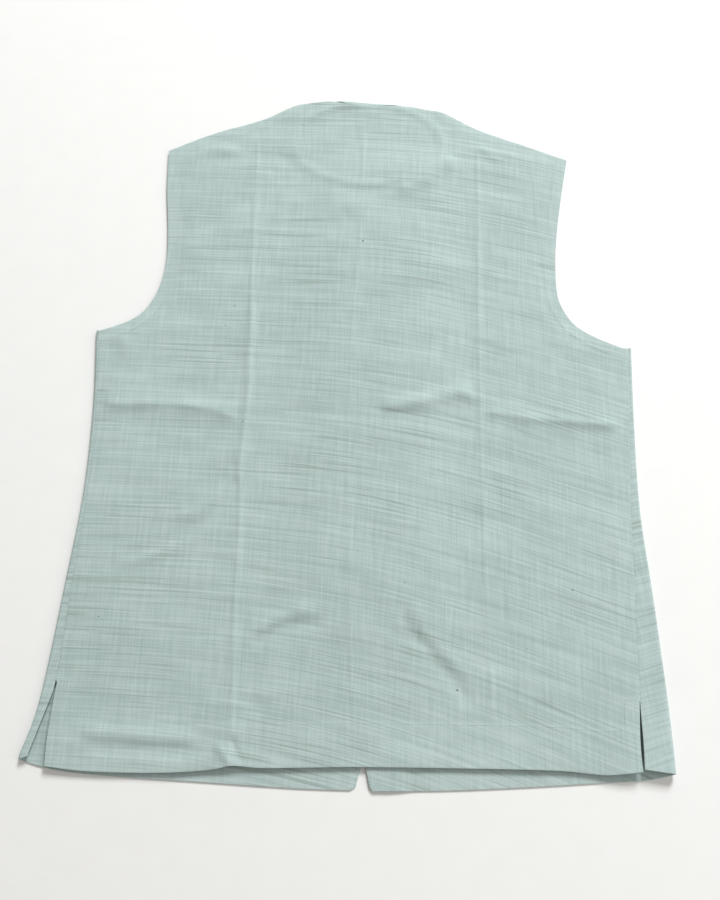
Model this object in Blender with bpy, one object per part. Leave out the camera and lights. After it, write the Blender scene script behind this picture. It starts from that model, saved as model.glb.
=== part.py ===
"""A sleeveless band-collar jacket of handloom cotton, buttoned and laid face down.

The fronts lie on the ground, wrap round both sides and meet the back at the side
seams. The back lies over them, and the collar is folded in under its neck edge.
Heights of the pattern are measured from the chest line, where the armholes begin,
and widths from the middle of the back. Pieces keep a small gap at every seam.
"""
import bpy
import math
from mathutils import Vector

CM = 0.01
MM = 0.001

# Frame: the origin lies under the middle of the jacket, +Y towards the collar.
CHEST_Y = 7.3 * CM
MIDDLE_X = 0.2 * CM

# Cloth.
CLOTH = 1.2 * MM
COLLAR_CLOTH = 1.6 * MM
GAP = 0.3 * MM
SEAM_GAP = 0.6 * MM

# Buttoned front: the left front laps over the right one, so it lies lowest.
CENTRE_FRONT = 1.5 * CM
LAP = 1.75 * CM
BUTTON_RADIUS = 7.5 * MM
BUTTON_THICKNESS = 2.6 * MM
BUTTON_BEVEL = 0.5 * MM
BUTTON_COUNT = 5
TOP_BUTTON = 16.3 * CM
BUTTON_PITCH = 9.8 * CM
PLACKET_LIFT = BUTTON_THICKNESS + GAP
PLACKET_FLAT = 2.2 * CM
PLACKET_FOOT = 6.0 * CM
PLACKET_END = -24.0 * CM
PLACKET_FADE = 10.0 * CM
PLACKET_TOP = 18.6 * CM
PLACKET_TOP_FADE = 5.0 * CM
LAP_STEP = CLOTH + GAP
LAP_CLEAR = 0.6 * CM
LAP_FOOT = 2.6 * CM

# Back: its height over the ground at the middle, the armholes and the neck.
BACK_LEVEL = 3.9 * MM
EDGE_LEVEL = CLOTH * 1.5 + GAP
NECK_LEVEL = 4.0 * MM
RIDGE_FLAT = 3.4 * CM
RIDGE_FOOT = 10.0 * CM
RIDGE_TOP = 20.2 * CM
HEM_LIFT = 2.0 * MM
HEM_LIFT_REACH = 5.0 * CM
PUCKER_X = -10.7 * CM
PUCKER_LIFT = 2.6 * MM
PUCKER_WIDTH = 1.7 * CM
SIDE_REACH = 5.0 * CM
ARMHOLE_REACH = 3.0 * CM
UNDERARM_FADE = 3.0 * CM
SHOULDER_REACH = 2.5 * CM
NECK_REACH = 3.0 * CM
NECK_CORNER = 8.0 * CM
NECK_CORNER_FADE = 4.0 * CM

# Collar: a band folded in round the neck seam.
COLLAR_WIDTH = 3.5 * CM
COLLAR_ROLL = 1.6 * MM
COLLAR_STEP = 0.8 * MM
COLLAR_END_ROUND = 1.4 * CM
COLLAR_INNER_CENTRE = (0.0 * CM, 23.9 * CM)
COLLAR_INNER_HALF = (4.9 * CM, 1.9 * CM)

# Grids.
SIDE_ROWS = 16
ARMHOLE_ROWS = 12
HEM_CROWDING = 1.5
UNDERARM_CROWDING = 1.8
HEM_FADE = 20 * CM
CHEST_FADE = 21 * CM
PLACKET_COLUMNS = (0.0, 2.0 * CM, 4.0 * CM, 5.4 * CM, 6.8 * CM, 8.2 * CM)
FRONT_COLUMNS = 4
FOLD_COLUMNS = 4
WRAP_COLUMNS = 2
SHOULDER_COLUMNS = 6
NECK_COLUMNS = 12
COLLAR_ROWS = 44
COLLAR_FLAT_COLUMNS = 3
COLLAR_ROLL_COLUMNS = 4
BUTTON_SIDES = 20

# Where each side folds, how far the front wraps on to the back, and how round the
# fold is: height, left fold, left wrap, left radius, right fold, right wrap, radius.
SIDES = [
    (-42.0, -30.30, 0.88, 0.24, 29.90, 2.95, 0.44),
    (-39.0, -29.42, 0.82, 0.22, 29.78, 2.81, 0.38),
    (-35.5, -28.87, 1.13, 0.20, 29.58, 2.70, 0.32),
    (-26.0, -28.02, 0.66, 0.18, 28.80, 1.80, 0.24),
    (-17.0, -27.33, 0.42, 0.17, 27.96, 0.95, 0.20),
    (-8.0, -27.38, 0.32, 0.17, 27.84, 0.50, 0.18),
    (0.0, -28.00, 0.28, 0.17, 27.95, 0.35, 0.17),
]
VENT_TOP = -35.5 * CM
# The back's own vent edges: height, left, right.
BACK_VENTS = [
    (-43.0, -27.82, 26.86),
    (-39.5, -27.84, 26.68),
    (-35.5, -27.58, 26.82),
]
# Armholes of the back, from the underarm to the shoulder: left x, y, right x, y.
ARMHOLES = [
    (-27.65, 0.15, 27.05, -0.05),
    (-26.50, 0.58, 24.85, 0.83),
    (-24.60, 1.45, 22.90, 1.90),
    (-23.20, 2.70, 21.65, 3.10),
    (-22.02, 5.05, 20.52, 5.45),
    (-21.42, 8.60, 20.30, 9.00),
    (-21.62, 12.60, 20.50, 12.70),
    (-22.15, 17.40, 21.08, 17.20),
    (-22.40, 22.10, 21.90, 22.35),
]
# Armholes of the fronts, cut a little deeper so that the back covers them.
FRONT_ARMHOLES = [
    (-28.10, 0.16, 28.10, 0.00),
    (-26.60, 0.40, 25.60, 0.35),
    (-24.40, 1.10, 22.80, 1.35),
    (-22.70, 2.45, 21.10, 2.85),
    (-21.45, 5.00, 19.90, 5.40),
    (-20.90, 8.60, 19.60, 9.00),
    (-21.15, 12.60, 19.90, 12.70),
    (-21.75, 17.40, 20.60, 17.20),
    (-22.25, 21.95, 21.75, 22.20),
]
# Shoulder and neck of the back, from the left tip to the right tip.
LEFT_SHOULDER = [(-22.40, 22.10), (-17.45, 24.50), (-12.20, 26.40), (-8.55, 28.28)]
BACK_NECK = [
    (-8.55, 28.28),
    (-6.90, 28.68),
    (-4.90, 29.02),
    (-4.00, 28.94),
    (-2.90, 28.72),
    (-1.80, 28.56),
    (0.80, 28.53),
    (3.40, 28.62),
    (4.60, 28.60),
    (6.40, 28.22),
    (7.90, 27.96),
]
RIGHT_SHOULDER = [(7.90, 27.96), (12.15, 25.88), (17.12, 24.08), (21.90, 22.35)]
# Hem of the back, left to right.
BACK_HEM = [
    (-27.82, -42.95),
    (-24.60, -43.25),
    (-20.00, -43.28),
    (-15.50, -43.08),
    (-12.30, -42.72),
    (-10.70, -42.35),
    (-8.10, -42.48),
    (0.10, -42.12),
    (9.30, -41.92),
    (19.40, -41.82),
    (23.30, -42.05),
    (25.00, -41.90),
    (26.86, -41.62),
]
# Hems of the fronts, outwards from the centre front: distance from the middle of the
# back along the cloth, and height. The last points are wrapped up round the side.
FRONT_HEM = {
    "left": [(-0.20, -44.15), (4.40, -44.15), (13.50, -43.88), (22.80, -43.60),
             (26.60, -43.32), (28.70, -42.92), (30.20, -42.50), (31.60, -42.02)],
    "right": [(2.30, -44.15), (8.40, -43.92), (15.70, -43.41), (23.10, -42.76),
              (27.20, -42.40), (29.00, -42.05), (30.10, -41.78), (31.40, -41.62),
              (33.60, -41.38)],
}
# Centre-front edges, from the hem up to where they run straight.
FRONT_EDGE = {
    "left": [(0.20, -44.15), (0.66, -43.85), (0.90, -43.00), (1.15, -42.20),
             (1.42, -41.40), (2.50, -37.80), (3.10, -34.20), (3.25, -30.50),
             (3.25, -20.00)],
    "right": [(2.30, -44.15), (2.02, -43.85), (1.80, -43.00), (1.48, -41.60),
              (0.50, -37.80), (-0.10, -34.20), (-0.25, -30.50), (-0.25, -20.00)],
}
# Necklines of the fronts, from the lapped edge to the shoulder seam.
FRONT_NECK = {
    "left": [(3.25, 18.38), (1.50, 18.37), (-1.80, 18.50), (-4.90, 19.60),
             (-7.20, 21.70), (-8.50, 24.70), (-8.55, 28.02)],
    "right": [(-0.25, 18.38), (1.50, 18.37), (3.80, 18.70), (6.10, 20.00),
              (7.80, 22.20), (8.46, 24.80), (8.50, 27.38)],
}
FRONT_SHOULDER = {
    "left": [(-8.55, 28.02), (-12.25, 26.20), (-17.40, 24.30), (-22.25, 21.95)],
    "right": [(8.50, 27.38), (12.20, 25.66), (17.15, 23.90), (21.75, 22.20)],
}
# The collar's outer line round the neck, how far the seam edge turns up and over
# there in degrees, and how far it then laps back: x, y, turn, lap in millimetres.
COLLAR = [
    (1.20, 18.46, 0, 0.0), (-1.80, 18.58, 0, 0.0), (-4.82, 19.66, 0, 0.0),
    (-7.10, 21.76, 0, 0.0), (-8.34, 24.60, 15, 0.0), (-7.90, 27.00, 50, 0.0),
    (-6.40, 28.34, 60, 0.0), (-4.95, 28.86, 80, 0.0), (-4.00, 29.06, 100, 0.0),
    (-3.00, 29.11, 180, 1.4), (-2.00, 29.05, 180, 2.6), (-0.60, 28.95, 180, 2.2),
    (0.80, 28.87, 180, 1.4), (2.60, 28.80, 150, 0.2), (4.10, 28.56, 90, 0.0),
    (5.90, 28.05, 80, 0.0), (7.45, 27.10, 55, 0.0), (8.28, 24.80, 15, 0.0),
    (7.70, 22.26, 0, 0.0), (6.03, 20.07, 0, 0.0), (3.78, 18.79, 0, 0.0),
    (1.80, 18.47, 0, 0.0),
]


def clear_scene():
    """Start from nothing."""
    for thing in list(bpy.data.objects):
        bpy.data.objects.remove(thing, do_unlink=True)


def material(name, colour, roughness):
    """A plain finish for one piece."""
    finish = bpy.data.materials.new(name)
    finish.use_nodes = True
    shader = finish.node_tree.nodes["Principled BSDF"]
    shader.inputs["Base Color"].default_value = (*colour, 1.0)
    shader.inputs["Roughness"].default_value = roughness
    shader.inputs["Metallic"].default_value = 0.0
    return finish


def ease(amount):
    """Rise smoothly from 0 to 1."""
    t = min(1.0, max(0.0, amount))
    return t * t * (3.0 - 2.0 * t)


def mix(start, end, amount):
    return start + (end - start) * amount


def hermite(knots, column, at):
    """A smooth value at one height, through a column of values at rising knots."""
    last = len(knots) - 1
    at = min(knots[last], max(knots[0], at))
    i = min(last - 1, max(0, sum(1 for knot in knots if knot <= at) - 1))

    def slope(k):
        low = max(0, k - 1)
        high = min(last, k + 1)
        return (column[high] - column[low]) / (knots[high] - knots[low])

    span = knots[i + 1] - knots[i]
    t = (at - knots[i]) / span
    start = column[i] * (1 - t) ** 2 * (1 + 2 * t) + slope(i) * span * t * (1 - t) ** 2
    end = column[i + 1] * t * t * (3 - 2 * t) - slope(i + 1) * span * t * t * (1 - t)
    return start + end


def curve_through(points, fractions, units=(CM, CM)):
    """Points at the given fractions of a smooth curve's length, in metres."""
    knots = [0.0]
    for before, after in zip(points, points[1:]):
        knots.append(knots[-1] + math.dist(before[:2], after[:2]))
    columns = list(zip(*points))
    return [[hermite(knots, column, f * knots[-1]) * unit
             for column, unit in zip(columns, units)]
            for f in fractions]


def steps(count):
    return [i / count for i in range(count + 1)]


def side_steps():
    """Places of the rows from the hem to the underarm, closer together at the hem."""
    return [f ** HEM_CROWDING for f in steps(SIDE_ROWS)]


def armhole_steps():
    """Places of the rows up the armhole, closer together at the underarm."""
    return [f ** UNDERARM_CROWDING for f in steps(ARMHOLE_ROWS)]


def side_at(side, height):
    """Fold line, wrap width and fold radius of one side at a height, as positive sizes."""
    first = 1 if side == "left" else 4
    knots = [row[0] * CM for row in SIDES]
    fold, wrap, radius = (hermite(knots, [row[first + k] * CM for row in SIDES], height)
                          for k in range(3))
    return abs(fold), wrap, radius


def back_edge_at(side, height):
    """Signed x of the back's side edge: the side seam, and the vent edge below it."""
    sign = -1.0 if side == "left" else 1.0
    if height < VENT_TOP:
        column = 1 if side == "left" else 2
        return hermite([row[0] * CM for row in BACK_VENTS],
                       [row[column] * CM for row in BACK_VENTS], height)
    fold, wrap, _ = side_at(side, height)
    return sign * (fold - wrap - SEAM_GAP)


def placket_at(x, y, flat=PLACKET_FLAT, foot=PLACKET_FOOT, top=PLACKET_TOP):
    """How far the buttons lift the cloth along the centre front, from 0 to 1."""
    across = ease((foot - abs(x - CENTRE_FRONT)) / (foot - flat))
    below = ease(1.0 - (PLACKET_END - y) / PLACKET_FADE)
    above = ease(1.0 - (y - top) / PLACKET_TOP_FADE)
    return across * below * above


def lap_at(x):
    """How far the right front is stepped up over the left one, from 0 to 1."""
    edge = CENTRE_FRONT + LAP + LAP_CLEAR
    return ease(1.0 - (x - edge) / LAP_FOOT)


def profile_y(points, x):
    """Height of an outline given left to right, at one x."""
    return hermite([p[0] * CM for p in points], [p[1] * CM for p in points], x)


def back_level(x, y):
    """Height of the back's middle surface over the ground."""
    level = BACK_LEVEL
    level += PLACKET_LIFT * placket_at(x, y, RIDGE_FLAT, RIDGE_FOOT, RIDGE_TOP)
    hem_y = profile_y(BACK_HEM, x)
    near_hem = ease(1.0 - (y - hem_y) / HEM_LIFT_REACH)
    pucker = math.exp(-((x - PUCKER_X) / PUCKER_WIDTH) ** 2)
    level += near_hem * (HEM_LIFT + PUCKER_LIFT * pucker)
    top = LEFT_SHOULDER + BACK_NECK[1:] + RIGHT_SHOULDER[1:]
    below_top = profile_y(top, x) - y
    outside_neck = ease((abs(x) - NECK_CORNER) / NECK_CORNER_FADE)
    top_level = mix(NECK_LEVEL, EDGE_LEVEL, outside_neck)
    top_reach = mix(NECK_REACH, SHOULDER_REACH, outside_neck)
    level = mix(level, top_level, ease(1.0 - below_top / top_reach))
    side = "left" if x < 0 else "right"
    column = 0 if side == "left" else 2
    if y > ARMHOLES[0][column + 1] * CM:
        edge_x = abs(hermite([row[column + 1] * CM for row in ARMHOLES],
                             [row[column] * CM for row in ARMHOLES], y))
        reach = ARMHOLE_REACH
    else:
        edge_x = abs(back_edge_at(side, y))
        reach = SIDE_REACH
    seam_level = CLOTH / 2 + 2 * side_at(side, min(y, 0.0))[2]
    edge_level = mix(seam_level, EDGE_LEVEL, ease(y / UNDERARM_FADE))
    return mix(level, edge_level, ease(1.0 - (edge_x - abs(x)) / reach))


def front_level(side, x, y):
    """Height of a front's middle surface over the ground, before it wraps."""
    level = CLOTH / 2 + PLACKET_LIFT * placket_at(x, y)
    if side == "right":
        level += LAP_STEP * lap_at(x)
    return level


def roll_round_side(side, x, y, level):
    """Wrap a flat pattern point round the side fold."""
    sign = -1.0 if side == "left" else 1.0
    fold, _, radius = side_at(side, y)
    start = fold - CLOTH / 2 - radius
    past = abs(x) - start
    if x * sign < 0 or past <= 0:
        return (x, y, level)
    turn = min(math.pi, past / radius)
    over = max(0.0, past - math.pi * radius)
    return (sign * (start + radius * math.sin(turn) - over), y,
            level + radius * (1 - math.cos(turn)))


def patch(left, right, bottom, top, fractions, bottom_fade, top_fade):
    """Rows of (x, y) points between four edges.

    left and right hold a point a row; bottom and top give a point at a fraction;
    fractions gives each row's places across. The bottom and top edges' shapes fade
    out over the two given heights.
    """
    rows = []
    for start, end, across in zip(left, right, fractions):
        height = (start[1] + end[1]) / 2
        bottom_share = ease(1.0 - (height - (left[0][1] + right[0][1]) / 2) / bottom_fade)
        top_share = ease(1.0 - ((left[-1][1] + right[-1][1]) / 2 - height) / top_fade)
        row = []
        for f in across:
            point = [mix(start[k], end[k], f) for k in range(2)]
            for share, edge, ends in ((bottom_share, bottom, (left[0], right[0])),
                                      (top_share, top, (left[-1], right[-1]))):
                shape = edge(f)
                for k in range(2):
                    point[k] += share * (shape[k] - mix(ends[0][k], ends[1][k], f))
            row.append(point)
        rows.append(row)
    return rows


def sheet(name, rows, thickness, finish):
    """A closed wall on a grid of points, half its thickness to each side."""
    verts = [(x + MIDDLE_X, y + CHEST_Y, z) for row in rows for x, y, z in row]
    width = len(rows[0])
    faces = []
    for r in range(len(rows) - 1):
        for c in range(width - 1):
            a = r * width + c
            faces.append((a, a + 1, a + width + 1, a + width))
    mesh = bpy.data.meshes.new(name)
    mesh.from_pydata(verts, [], faces)
    mesh.shade_smooth()
    mesh.materials.append(finish)
    piece = bpy.data.objects.new(name, mesh)
    bpy.context.collection.objects.link(piece)
    wall = piece.modifiers.new("wall", "SOLIDIFY")
    wall.thickness = thickness
    wall.offset = 0.0
    wall.use_even_offset = False
    wall.use_rim = True
    return piece


def edge_reader(pieces, counts):
    """A function from 0 to 1 along joined curves, with a share of it for each curve."""
    points = []
    for curve, count in zip(pieces, counts):
        points += curve_through(curve, steps(count))[(1 if points else 0):]
    last = len(points) - 1

    def read(fraction):
        at = min(last, max(0.0, fraction * last))
        low = min(last - 1, int(at))
        return [mix(points[low][k], points[low + 1][k], at - low) for k in range(2)]

    return read


def make_back(finish):
    """The back, in one piece from vent edge to vent edge."""
    sides = {}
    for side, column in (("left", 0), ("right", 2)):
        hem_corner = BACK_HEM[0] if side == "left" else BACK_HEM[-1]
        underarm_y = ARMHOLES[0][column + 1] * CM
        rows = []
        for f in side_steps():
            y = mix(hem_corner[1] * CM, underarm_y, f)
            rows.append([back_edge_at(side, y), y])
        armhole = [(row[column], row[column + 1]) for row in ARMHOLES]
        rows += curve_through(armhole, armhole_steps())[1:]
        sides[side] = rows
    columns = 2 * SHOULDER_COLUMNS + NECK_COLUMNS
    hem = edge_reader([BACK_HEM], [columns])
    top = edge_reader([LEFT_SHOULDER, BACK_NECK, RIGHT_SHOULDER],
                      [SHOULDER_COLUMNS, NECK_COLUMNS, SHOULDER_COLUMNS])
    fractions = [steps(columns)] * (SIDE_ROWS + ARMHOLE_ROWS + 1)
    grid = patch(sides["left"], sides["right"], hem, top, fractions, HEM_FADE, CHEST_FADE)
    rows = [[(x, y, back_level(x, y)) for x, y in row] for row in grid]
    return sheet("back", rows, CLOTH, finish)


def make_front(side, finish):
    """One front, from its lapped edge round the side to the side seam."""
    sign = -1.0 if side == "left" else 1.0
    column = 0 if side == "left" else 2
    lapped_x = CENTRE_FRONT - sign * LAP
    neck_y = FRONT_NECK[side][0][1] * CM
    hem = FRONT_HEM[side]
    edge_heights = [y * CM for _, y in FRONT_EDGE[side]]
    edge_places = [x * CM for x, _ in FRONT_EDGE[side]]
    outer = []
    inner = []
    fractions = []
    for f in side_steps():
        y = mix(hem[-1][1] * CM, FRONT_ARMHOLES[0][column + 1] * CM, f)
        fold, wrap, radius = side_at(side, y)
        fold_start = fold - CLOTH / 2 - radius
        fold_end = fold_start + math.pi * radius
        pattern_end = fold_end + wrap - CLOTH / 2 - radius
        outer.append([sign * pattern_end, y])
        inner_y = mix(edge_heights[0], 0.0, f)
        inner.append([hermite(edge_heights, edge_places, inner_y), inner_y])
        begin = sign * inner[-1][0]
        near_edge = [begin + offset for offset in PLACKET_COLUMNS]
        places = near_edge[:-1]
        places += [mix(near_edge[-1], fold_start, k) for k in steps(FRONT_COLUMNS)]
        places += [mix(fold_start, fold_end, k) for k in steps(FOLD_COLUMNS)[1:]]
        places += [mix(fold_end, pattern_end, k) for k in steps(WRAP_COLUMNS)[1:]]
        fractions.append([(place - begin) / (pattern_end - begin) for place in places])
    underarm = fractions[-1]
    even = steps(len(underarm) - 1)
    armhole = [(row[column], row[column + 1]) for row in FRONT_ARMHOLES]
    armhole[0] = (outer[-1][0] / CM, outer[-1][1] / CM)
    for x, y in curve_through(armhole, armhole_steps())[1:]:
        share = (y - outer[SIDE_ROWS][1]) / (armhole[-1][1] * CM - outer[SIDE_ROWS][1])
        outer.append([x, y])
        inner.append([lapped_x, mix(0.0, neck_y, share)])
        fractions.append([mix(a, b, ease(share)) for a, b in zip(underarm, even)])

    def bottom(f):
        x = mix(inner[0][0], outer[0][0], f)
        return [x, profile_y(hem, sign * x)]

    neck_columns = len(even) - 1 - SHOULDER_COLUMNS
    top = edge_reader([FRONT_NECK[side], FRONT_SHOULDER[side]],
                      [neck_columns, SHOULDER_COLUMNS])
    grid = patch(inner, outer, bottom, top, fractions, HEM_FADE, CHEST_FADE)
    rows = [[roll_round_side(side, x, y, front_level(side, x, y)) for x, y in row]
            for row in grid]
    if side == "left":
        rows = [row[::-1] for row in rows]
    return sheet("front_" + side, rows, CLOTH, finish)


def collar_level(x, y, right_half):
    """Height of the collar's lower layer, which follows the front that it is sewn to."""
    level = COLLAR_CLOTH / 2 + PLACKET_LIFT * placket_at(x, y)
    if right_half:
        level += COLLAR_STEP * lap_at(x) * ease(1.0 - (y - PLACKET_TOP) / PLACKET_TOP_FADE)
    return level


def make_collar(finish):
    """The collar, a band round the neck seam that lies folded in under the back."""
    rows = []
    line = curve_through(COLLAR, steps(COLLAR_ROWS), (CM, CM, math.pi / 180, MM))
    whole = sum(math.dist(a[:2], b[:2]) for a, b in zip(line, line[1:]))
    roll_widths = [math.pi * COLLAR_ROLL * f for f in steps(COLLAR_ROLL_COLUMNS)]
    centre_x, centre_y = COLLAR_INNER_CENTRE
    half_x, half_y = COLLAR_INNER_HALF
    for index, (x, y, turn, lap) in enumerate(line):
        turn = max(0.0, turn)
        lap = max(0.0, lap)
        from_end = min(index, COLLAR_ROWS - index) / COLLAR_ROWS * whole
        short = max(0.0, COLLAR_END_ROUND - from_end)
        width = COLLAR_WIDTH - COLLAR_END_ROUND
        width += math.sqrt(max(0.0, COLLAR_END_ROUND ** 2 - short ** 2))
        angle = math.atan2((y - centre_y) / (half_y + COLLAR_WIDTH),
                           (x - centre_x) / (half_x + COLLAR_WIDTH))
        inner = Vector((centre_x + half_x * math.cos(angle),
                        centre_y + half_y * math.sin(angle)))
        outward = (Vector((x, y)) - inner).normalized()
        roll_start = -COLLAR_ROLL * math.sin(min(turn, math.pi / 2))
        roll_length = COLLAR_ROLL * turn
        row = []
        flat_widths = [mix(roll_widths[-1], width, f) for f in steps(COLLAR_FLAT_COLUMNS)]
        for along in roll_widths + flat_widths[1:]:
            rest = lap + roll_length - along
            if rest > roll_length:
                out = roll_start + COLLAR_ROLL * math.sin(turn)
                out += (rest - roll_length) * math.cos(turn)
                rise = COLLAR_ROLL * (1 - math.cos(turn))
                rise += (rest - roll_length) * math.sin(turn)
            elif rest > 0:
                out = roll_start + COLLAR_ROLL * math.sin(rest / COLLAR_ROLL)
                rise = COLLAR_ROLL * (1 - math.cos(rest / COLLAR_ROLL))
            else:
                out = roll_start + rest
                rise = 0.0
            at = Vector((x, y)) + outward * out
            level = collar_level(at.x, at.y, index > COLLAR_ROWS / 2)
            row.append((at.x, at.y, level + rise))
        rows.append(row)
    return sheet("collar", rows, COLLAR_CLOTH, finish)


def make_button(number, finish):
    """One button, lying on the ground under the left front."""
    height = TOP_BUTTON - (number - 1) * BUTTON_PITCH
    bpy.ops.mesh.primitive_cylinder_add(
        vertices=BUTTON_SIDES, radius=BUTTON_RADIUS, depth=BUTTON_THICKNESS,
        location=(CENTRE_FRONT + MIDDLE_X, height + CHEST_Y, BUTTON_THICKNESS / 2))
    button = bpy.context.active_object
    button.name = f"button_{number}"
    button.data.name = button.name
    button.data.materials.append(finish)
    rounding = button.modifiers.new("rounding", "BEVEL")
    rounding.width = BUTTON_BEVEL
    rounding.segments = 1
    return button


clear_scene()
cloth = material("handloom_cotton", (0.46, 0.55, 0.53), 0.9)
collar_cloth = material("handloom_cotton_collar", (0.46, 0.55, 0.53), 0.9)
resin = material("button_resin", (0.50, 0.56, 0.53), 0.4)
make_back(cloth)
for front_side in ("left", "right"):
    make_front(front_side, cloth)
make_collar(collar_cloth)
for button_number in range(1, BUTTON_COUNT + 1):
    make_button(button_number, resin)
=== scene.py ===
"""The jacket as it lies: creased handloom cotton, turned edges, stitching and buttons.

Patterns are measured in metres from the chest line (y) and the middle of the back (x),
like the solids underneath, and `placed` moves them to their place in the frame.
"""

import math

import bmesh
import bpy
import numpy as np
from mathutils import Matrix, Vector


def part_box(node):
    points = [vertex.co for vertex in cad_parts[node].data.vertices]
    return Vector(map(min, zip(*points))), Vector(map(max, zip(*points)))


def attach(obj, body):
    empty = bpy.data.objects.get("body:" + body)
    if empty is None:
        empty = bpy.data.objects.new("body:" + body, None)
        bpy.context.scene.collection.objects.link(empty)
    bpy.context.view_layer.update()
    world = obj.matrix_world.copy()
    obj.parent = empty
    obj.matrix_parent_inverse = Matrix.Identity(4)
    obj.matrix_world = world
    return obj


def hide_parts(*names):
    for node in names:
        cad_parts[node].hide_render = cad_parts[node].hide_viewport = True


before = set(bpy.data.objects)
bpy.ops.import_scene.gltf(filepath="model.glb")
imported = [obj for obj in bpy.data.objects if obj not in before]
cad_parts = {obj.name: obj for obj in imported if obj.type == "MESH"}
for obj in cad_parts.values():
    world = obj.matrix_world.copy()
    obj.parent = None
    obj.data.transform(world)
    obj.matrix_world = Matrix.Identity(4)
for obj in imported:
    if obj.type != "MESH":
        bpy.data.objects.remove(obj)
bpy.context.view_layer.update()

CM = 0.01
MM = 0.001

# The pattern's place in the frame, from the top button, on the centre-front line.
HIGHEST_BUTTON = "button_1"
BUTTON_COUNT = 5
CENTRE_FRONT = 1.5 * CM
TOP_BUTTON = 16.3 * CM
button_low, button_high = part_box(HIGHEST_BUTTON)
MIDDLE_X = (button_low.x + button_high.x) / 2 - CENTRE_FRONT
CHEST_Y = (button_low.y + button_high.y) / 2 - TOP_BUTTON

# The left and the right of the jacket as it lies, seen from above.
SIGN = {"left": -1.0, "right": 1.0}

# Cloth.
CLOTH = 1.2 * MM
COLLAR_CLOTH = 1.6 * MM
GAP = 0.3 * MM
EDGE_ROUND = 0.25 * MM

# Buttoned front.
LAP = 1.75 * CM
BUTTON_RADIUS = (button_high.x - button_low.x) / 2
BUTTON_THICKNESS = button_high.z - button_low.z
PLACKET_LIFT = BUTTON_THICKNESS + GAP
PLACKET_FLAT = 2.2 * CM
PLACKET_FOOT = 6.0 * CM
PLACKET_END = -24.0 * CM
PLACKET_FADE = 10.0 * CM
PLACKET_TOP = 18.6 * CM
PLACKET_TOP_FADE = 5.0 * CM
LAP_STEP = CLOTH + GAP
LAP_CLEAR = 0.6 * CM
LAP_FOOT = 2.6 * CM

# Back.
BACK_LEVEL = 3.9 * MM
EDGE_LEVEL = CLOTH * 1.5 + GAP
NECK_LEVEL = 4.0 * MM
RIDGE_FLAT = 3.4 * CM
RIDGE_FOOT = 10.0 * CM
RIDGE_TOP = 20.2 * CM
HEM_LIFT = 0.3 * MM
HEM_LIFT_REACH = 5.0 * CM
PUCKER_X = -10.7 * CM
PUCKER_LIFT = 2.6 * MM
PUCKER_WIDTH = 1.7 * CM
SIDE_REACH = 5.0 * CM
ARMHOLE_REACH = 3.0 * CM
UNDERARM_FADE = 3.0 * CM
SHOULDER_REACH = 2.5 * CM
NECK_REACH = 3.0 * CM
NECK_CORNER = 8.0 * CM
NECK_CORNER_FADE = 4.0 * CM
HEM_FADE = 20 * CM
CHEST_FADE = 21 * CM

# Collar.
COLLAR_WIDTH = 3.5 * CM
COLLAR_ROLL = 1.6 * MM
COLLAR_STEP = 0.8 * MM
COLLAR_END_ROUND = 1.4 * CM
COLLAR_INNER_CENTRE = (0.0 * CM, 23.9 * CM)
COLLAR_INNER_HALF = (4.9 * CM, 1.9 * CM)

# Outlines of the pattern, in centimetres, measured along the cloth as it lies.
# Height, then fold, wrap and fold radius of the left side, then of the right side.
SIDES = [
    (-42.0, -30.30, 0.88, 0.24, 29.90, 2.95, 0.44),
    (-39.0, -29.42, 0.82, 0.22, 29.78, 2.81, 0.38),
    (-35.5, -28.87, 1.13, 0.20, 29.58, 2.70, 0.32),
    (-26.0, -28.02, 0.66, 0.18, 28.80, 1.80, 0.24),
    (-17.0, -27.33, 0.42, 0.17, 27.96, 0.95, 0.20),
    (-8.0, -27.38, 0.32, 0.17, 27.84, 0.50, 0.18),
    (0.0, -28.00, 0.28, 0.17, 27.95, 0.35, 0.17),
]
VENT_TOP = -35.5 * CM
# Height, then the back's vent edge on the left side and on the right side.
BACK_VENTS = [
    (-43.0, -27.82, 26.86),
    (-39.5, -27.84, 26.68),
    (-35.5, -27.58, 26.82),
]
# From the underarm up: x and y of the left armhole, then of the right one.
ARMHOLES = [
    (-27.65, 0.15, 27.05, -0.05),
    (-26.50, 0.58, 24.85, 0.83),
    (-24.60, 1.45, 22.90, 1.90),
    (-23.20, 2.70, 21.65, 3.10),
    (-22.02, 5.05, 20.52, 5.45),
    (-21.42, 8.60, 20.30, 9.00),
    (-21.62, 12.60, 20.50, 12.70),
    (-22.15, 17.40, 21.08, 17.20),
    (-22.40, 22.10, 21.90, 22.35),
]
FRONT_ARMHOLES = [
    (-28.10, 0.16, 28.10, 0.00),
    (-26.60, 0.40, 25.60, 0.35),
    (-24.40, 1.10, 22.80, 1.35),
    (-22.70, 2.45, 21.10, 2.85),
    (-21.45, 5.00, 19.90, 5.40),
    (-20.90, 8.60, 19.60, 9.00),
    (-21.15, 12.60, 19.90, 12.70),
    (-21.75, 17.40, 20.60, 17.20),
    (-22.25, 21.95, 21.75, 22.20),
]
LEFT_SHOULDER = [(-22.40, 22.10), (-17.45, 24.50), (-12.20, 26.40), (-8.55, 28.28)]
BACK_NECK = [
    (-8.55, 28.28),
    (-6.90, 28.68),
    (-4.90, 29.02),
    (-4.00, 28.94),
    (-2.90, 28.72),
    (-1.80, 28.56),
    (0.80, 28.53),
    (3.40, 28.62),
    (4.60, 28.60),
    (6.40, 28.22),
    (7.90, 27.96),
]
RIGHT_SHOULDER = [(7.90, 27.96), (12.15, 25.88), (17.12, 24.08), (21.90, 22.35)]
BACK_TOP = LEFT_SHOULDER + BACK_NECK[1:] + RIGHT_SHOULDER[1:]
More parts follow.
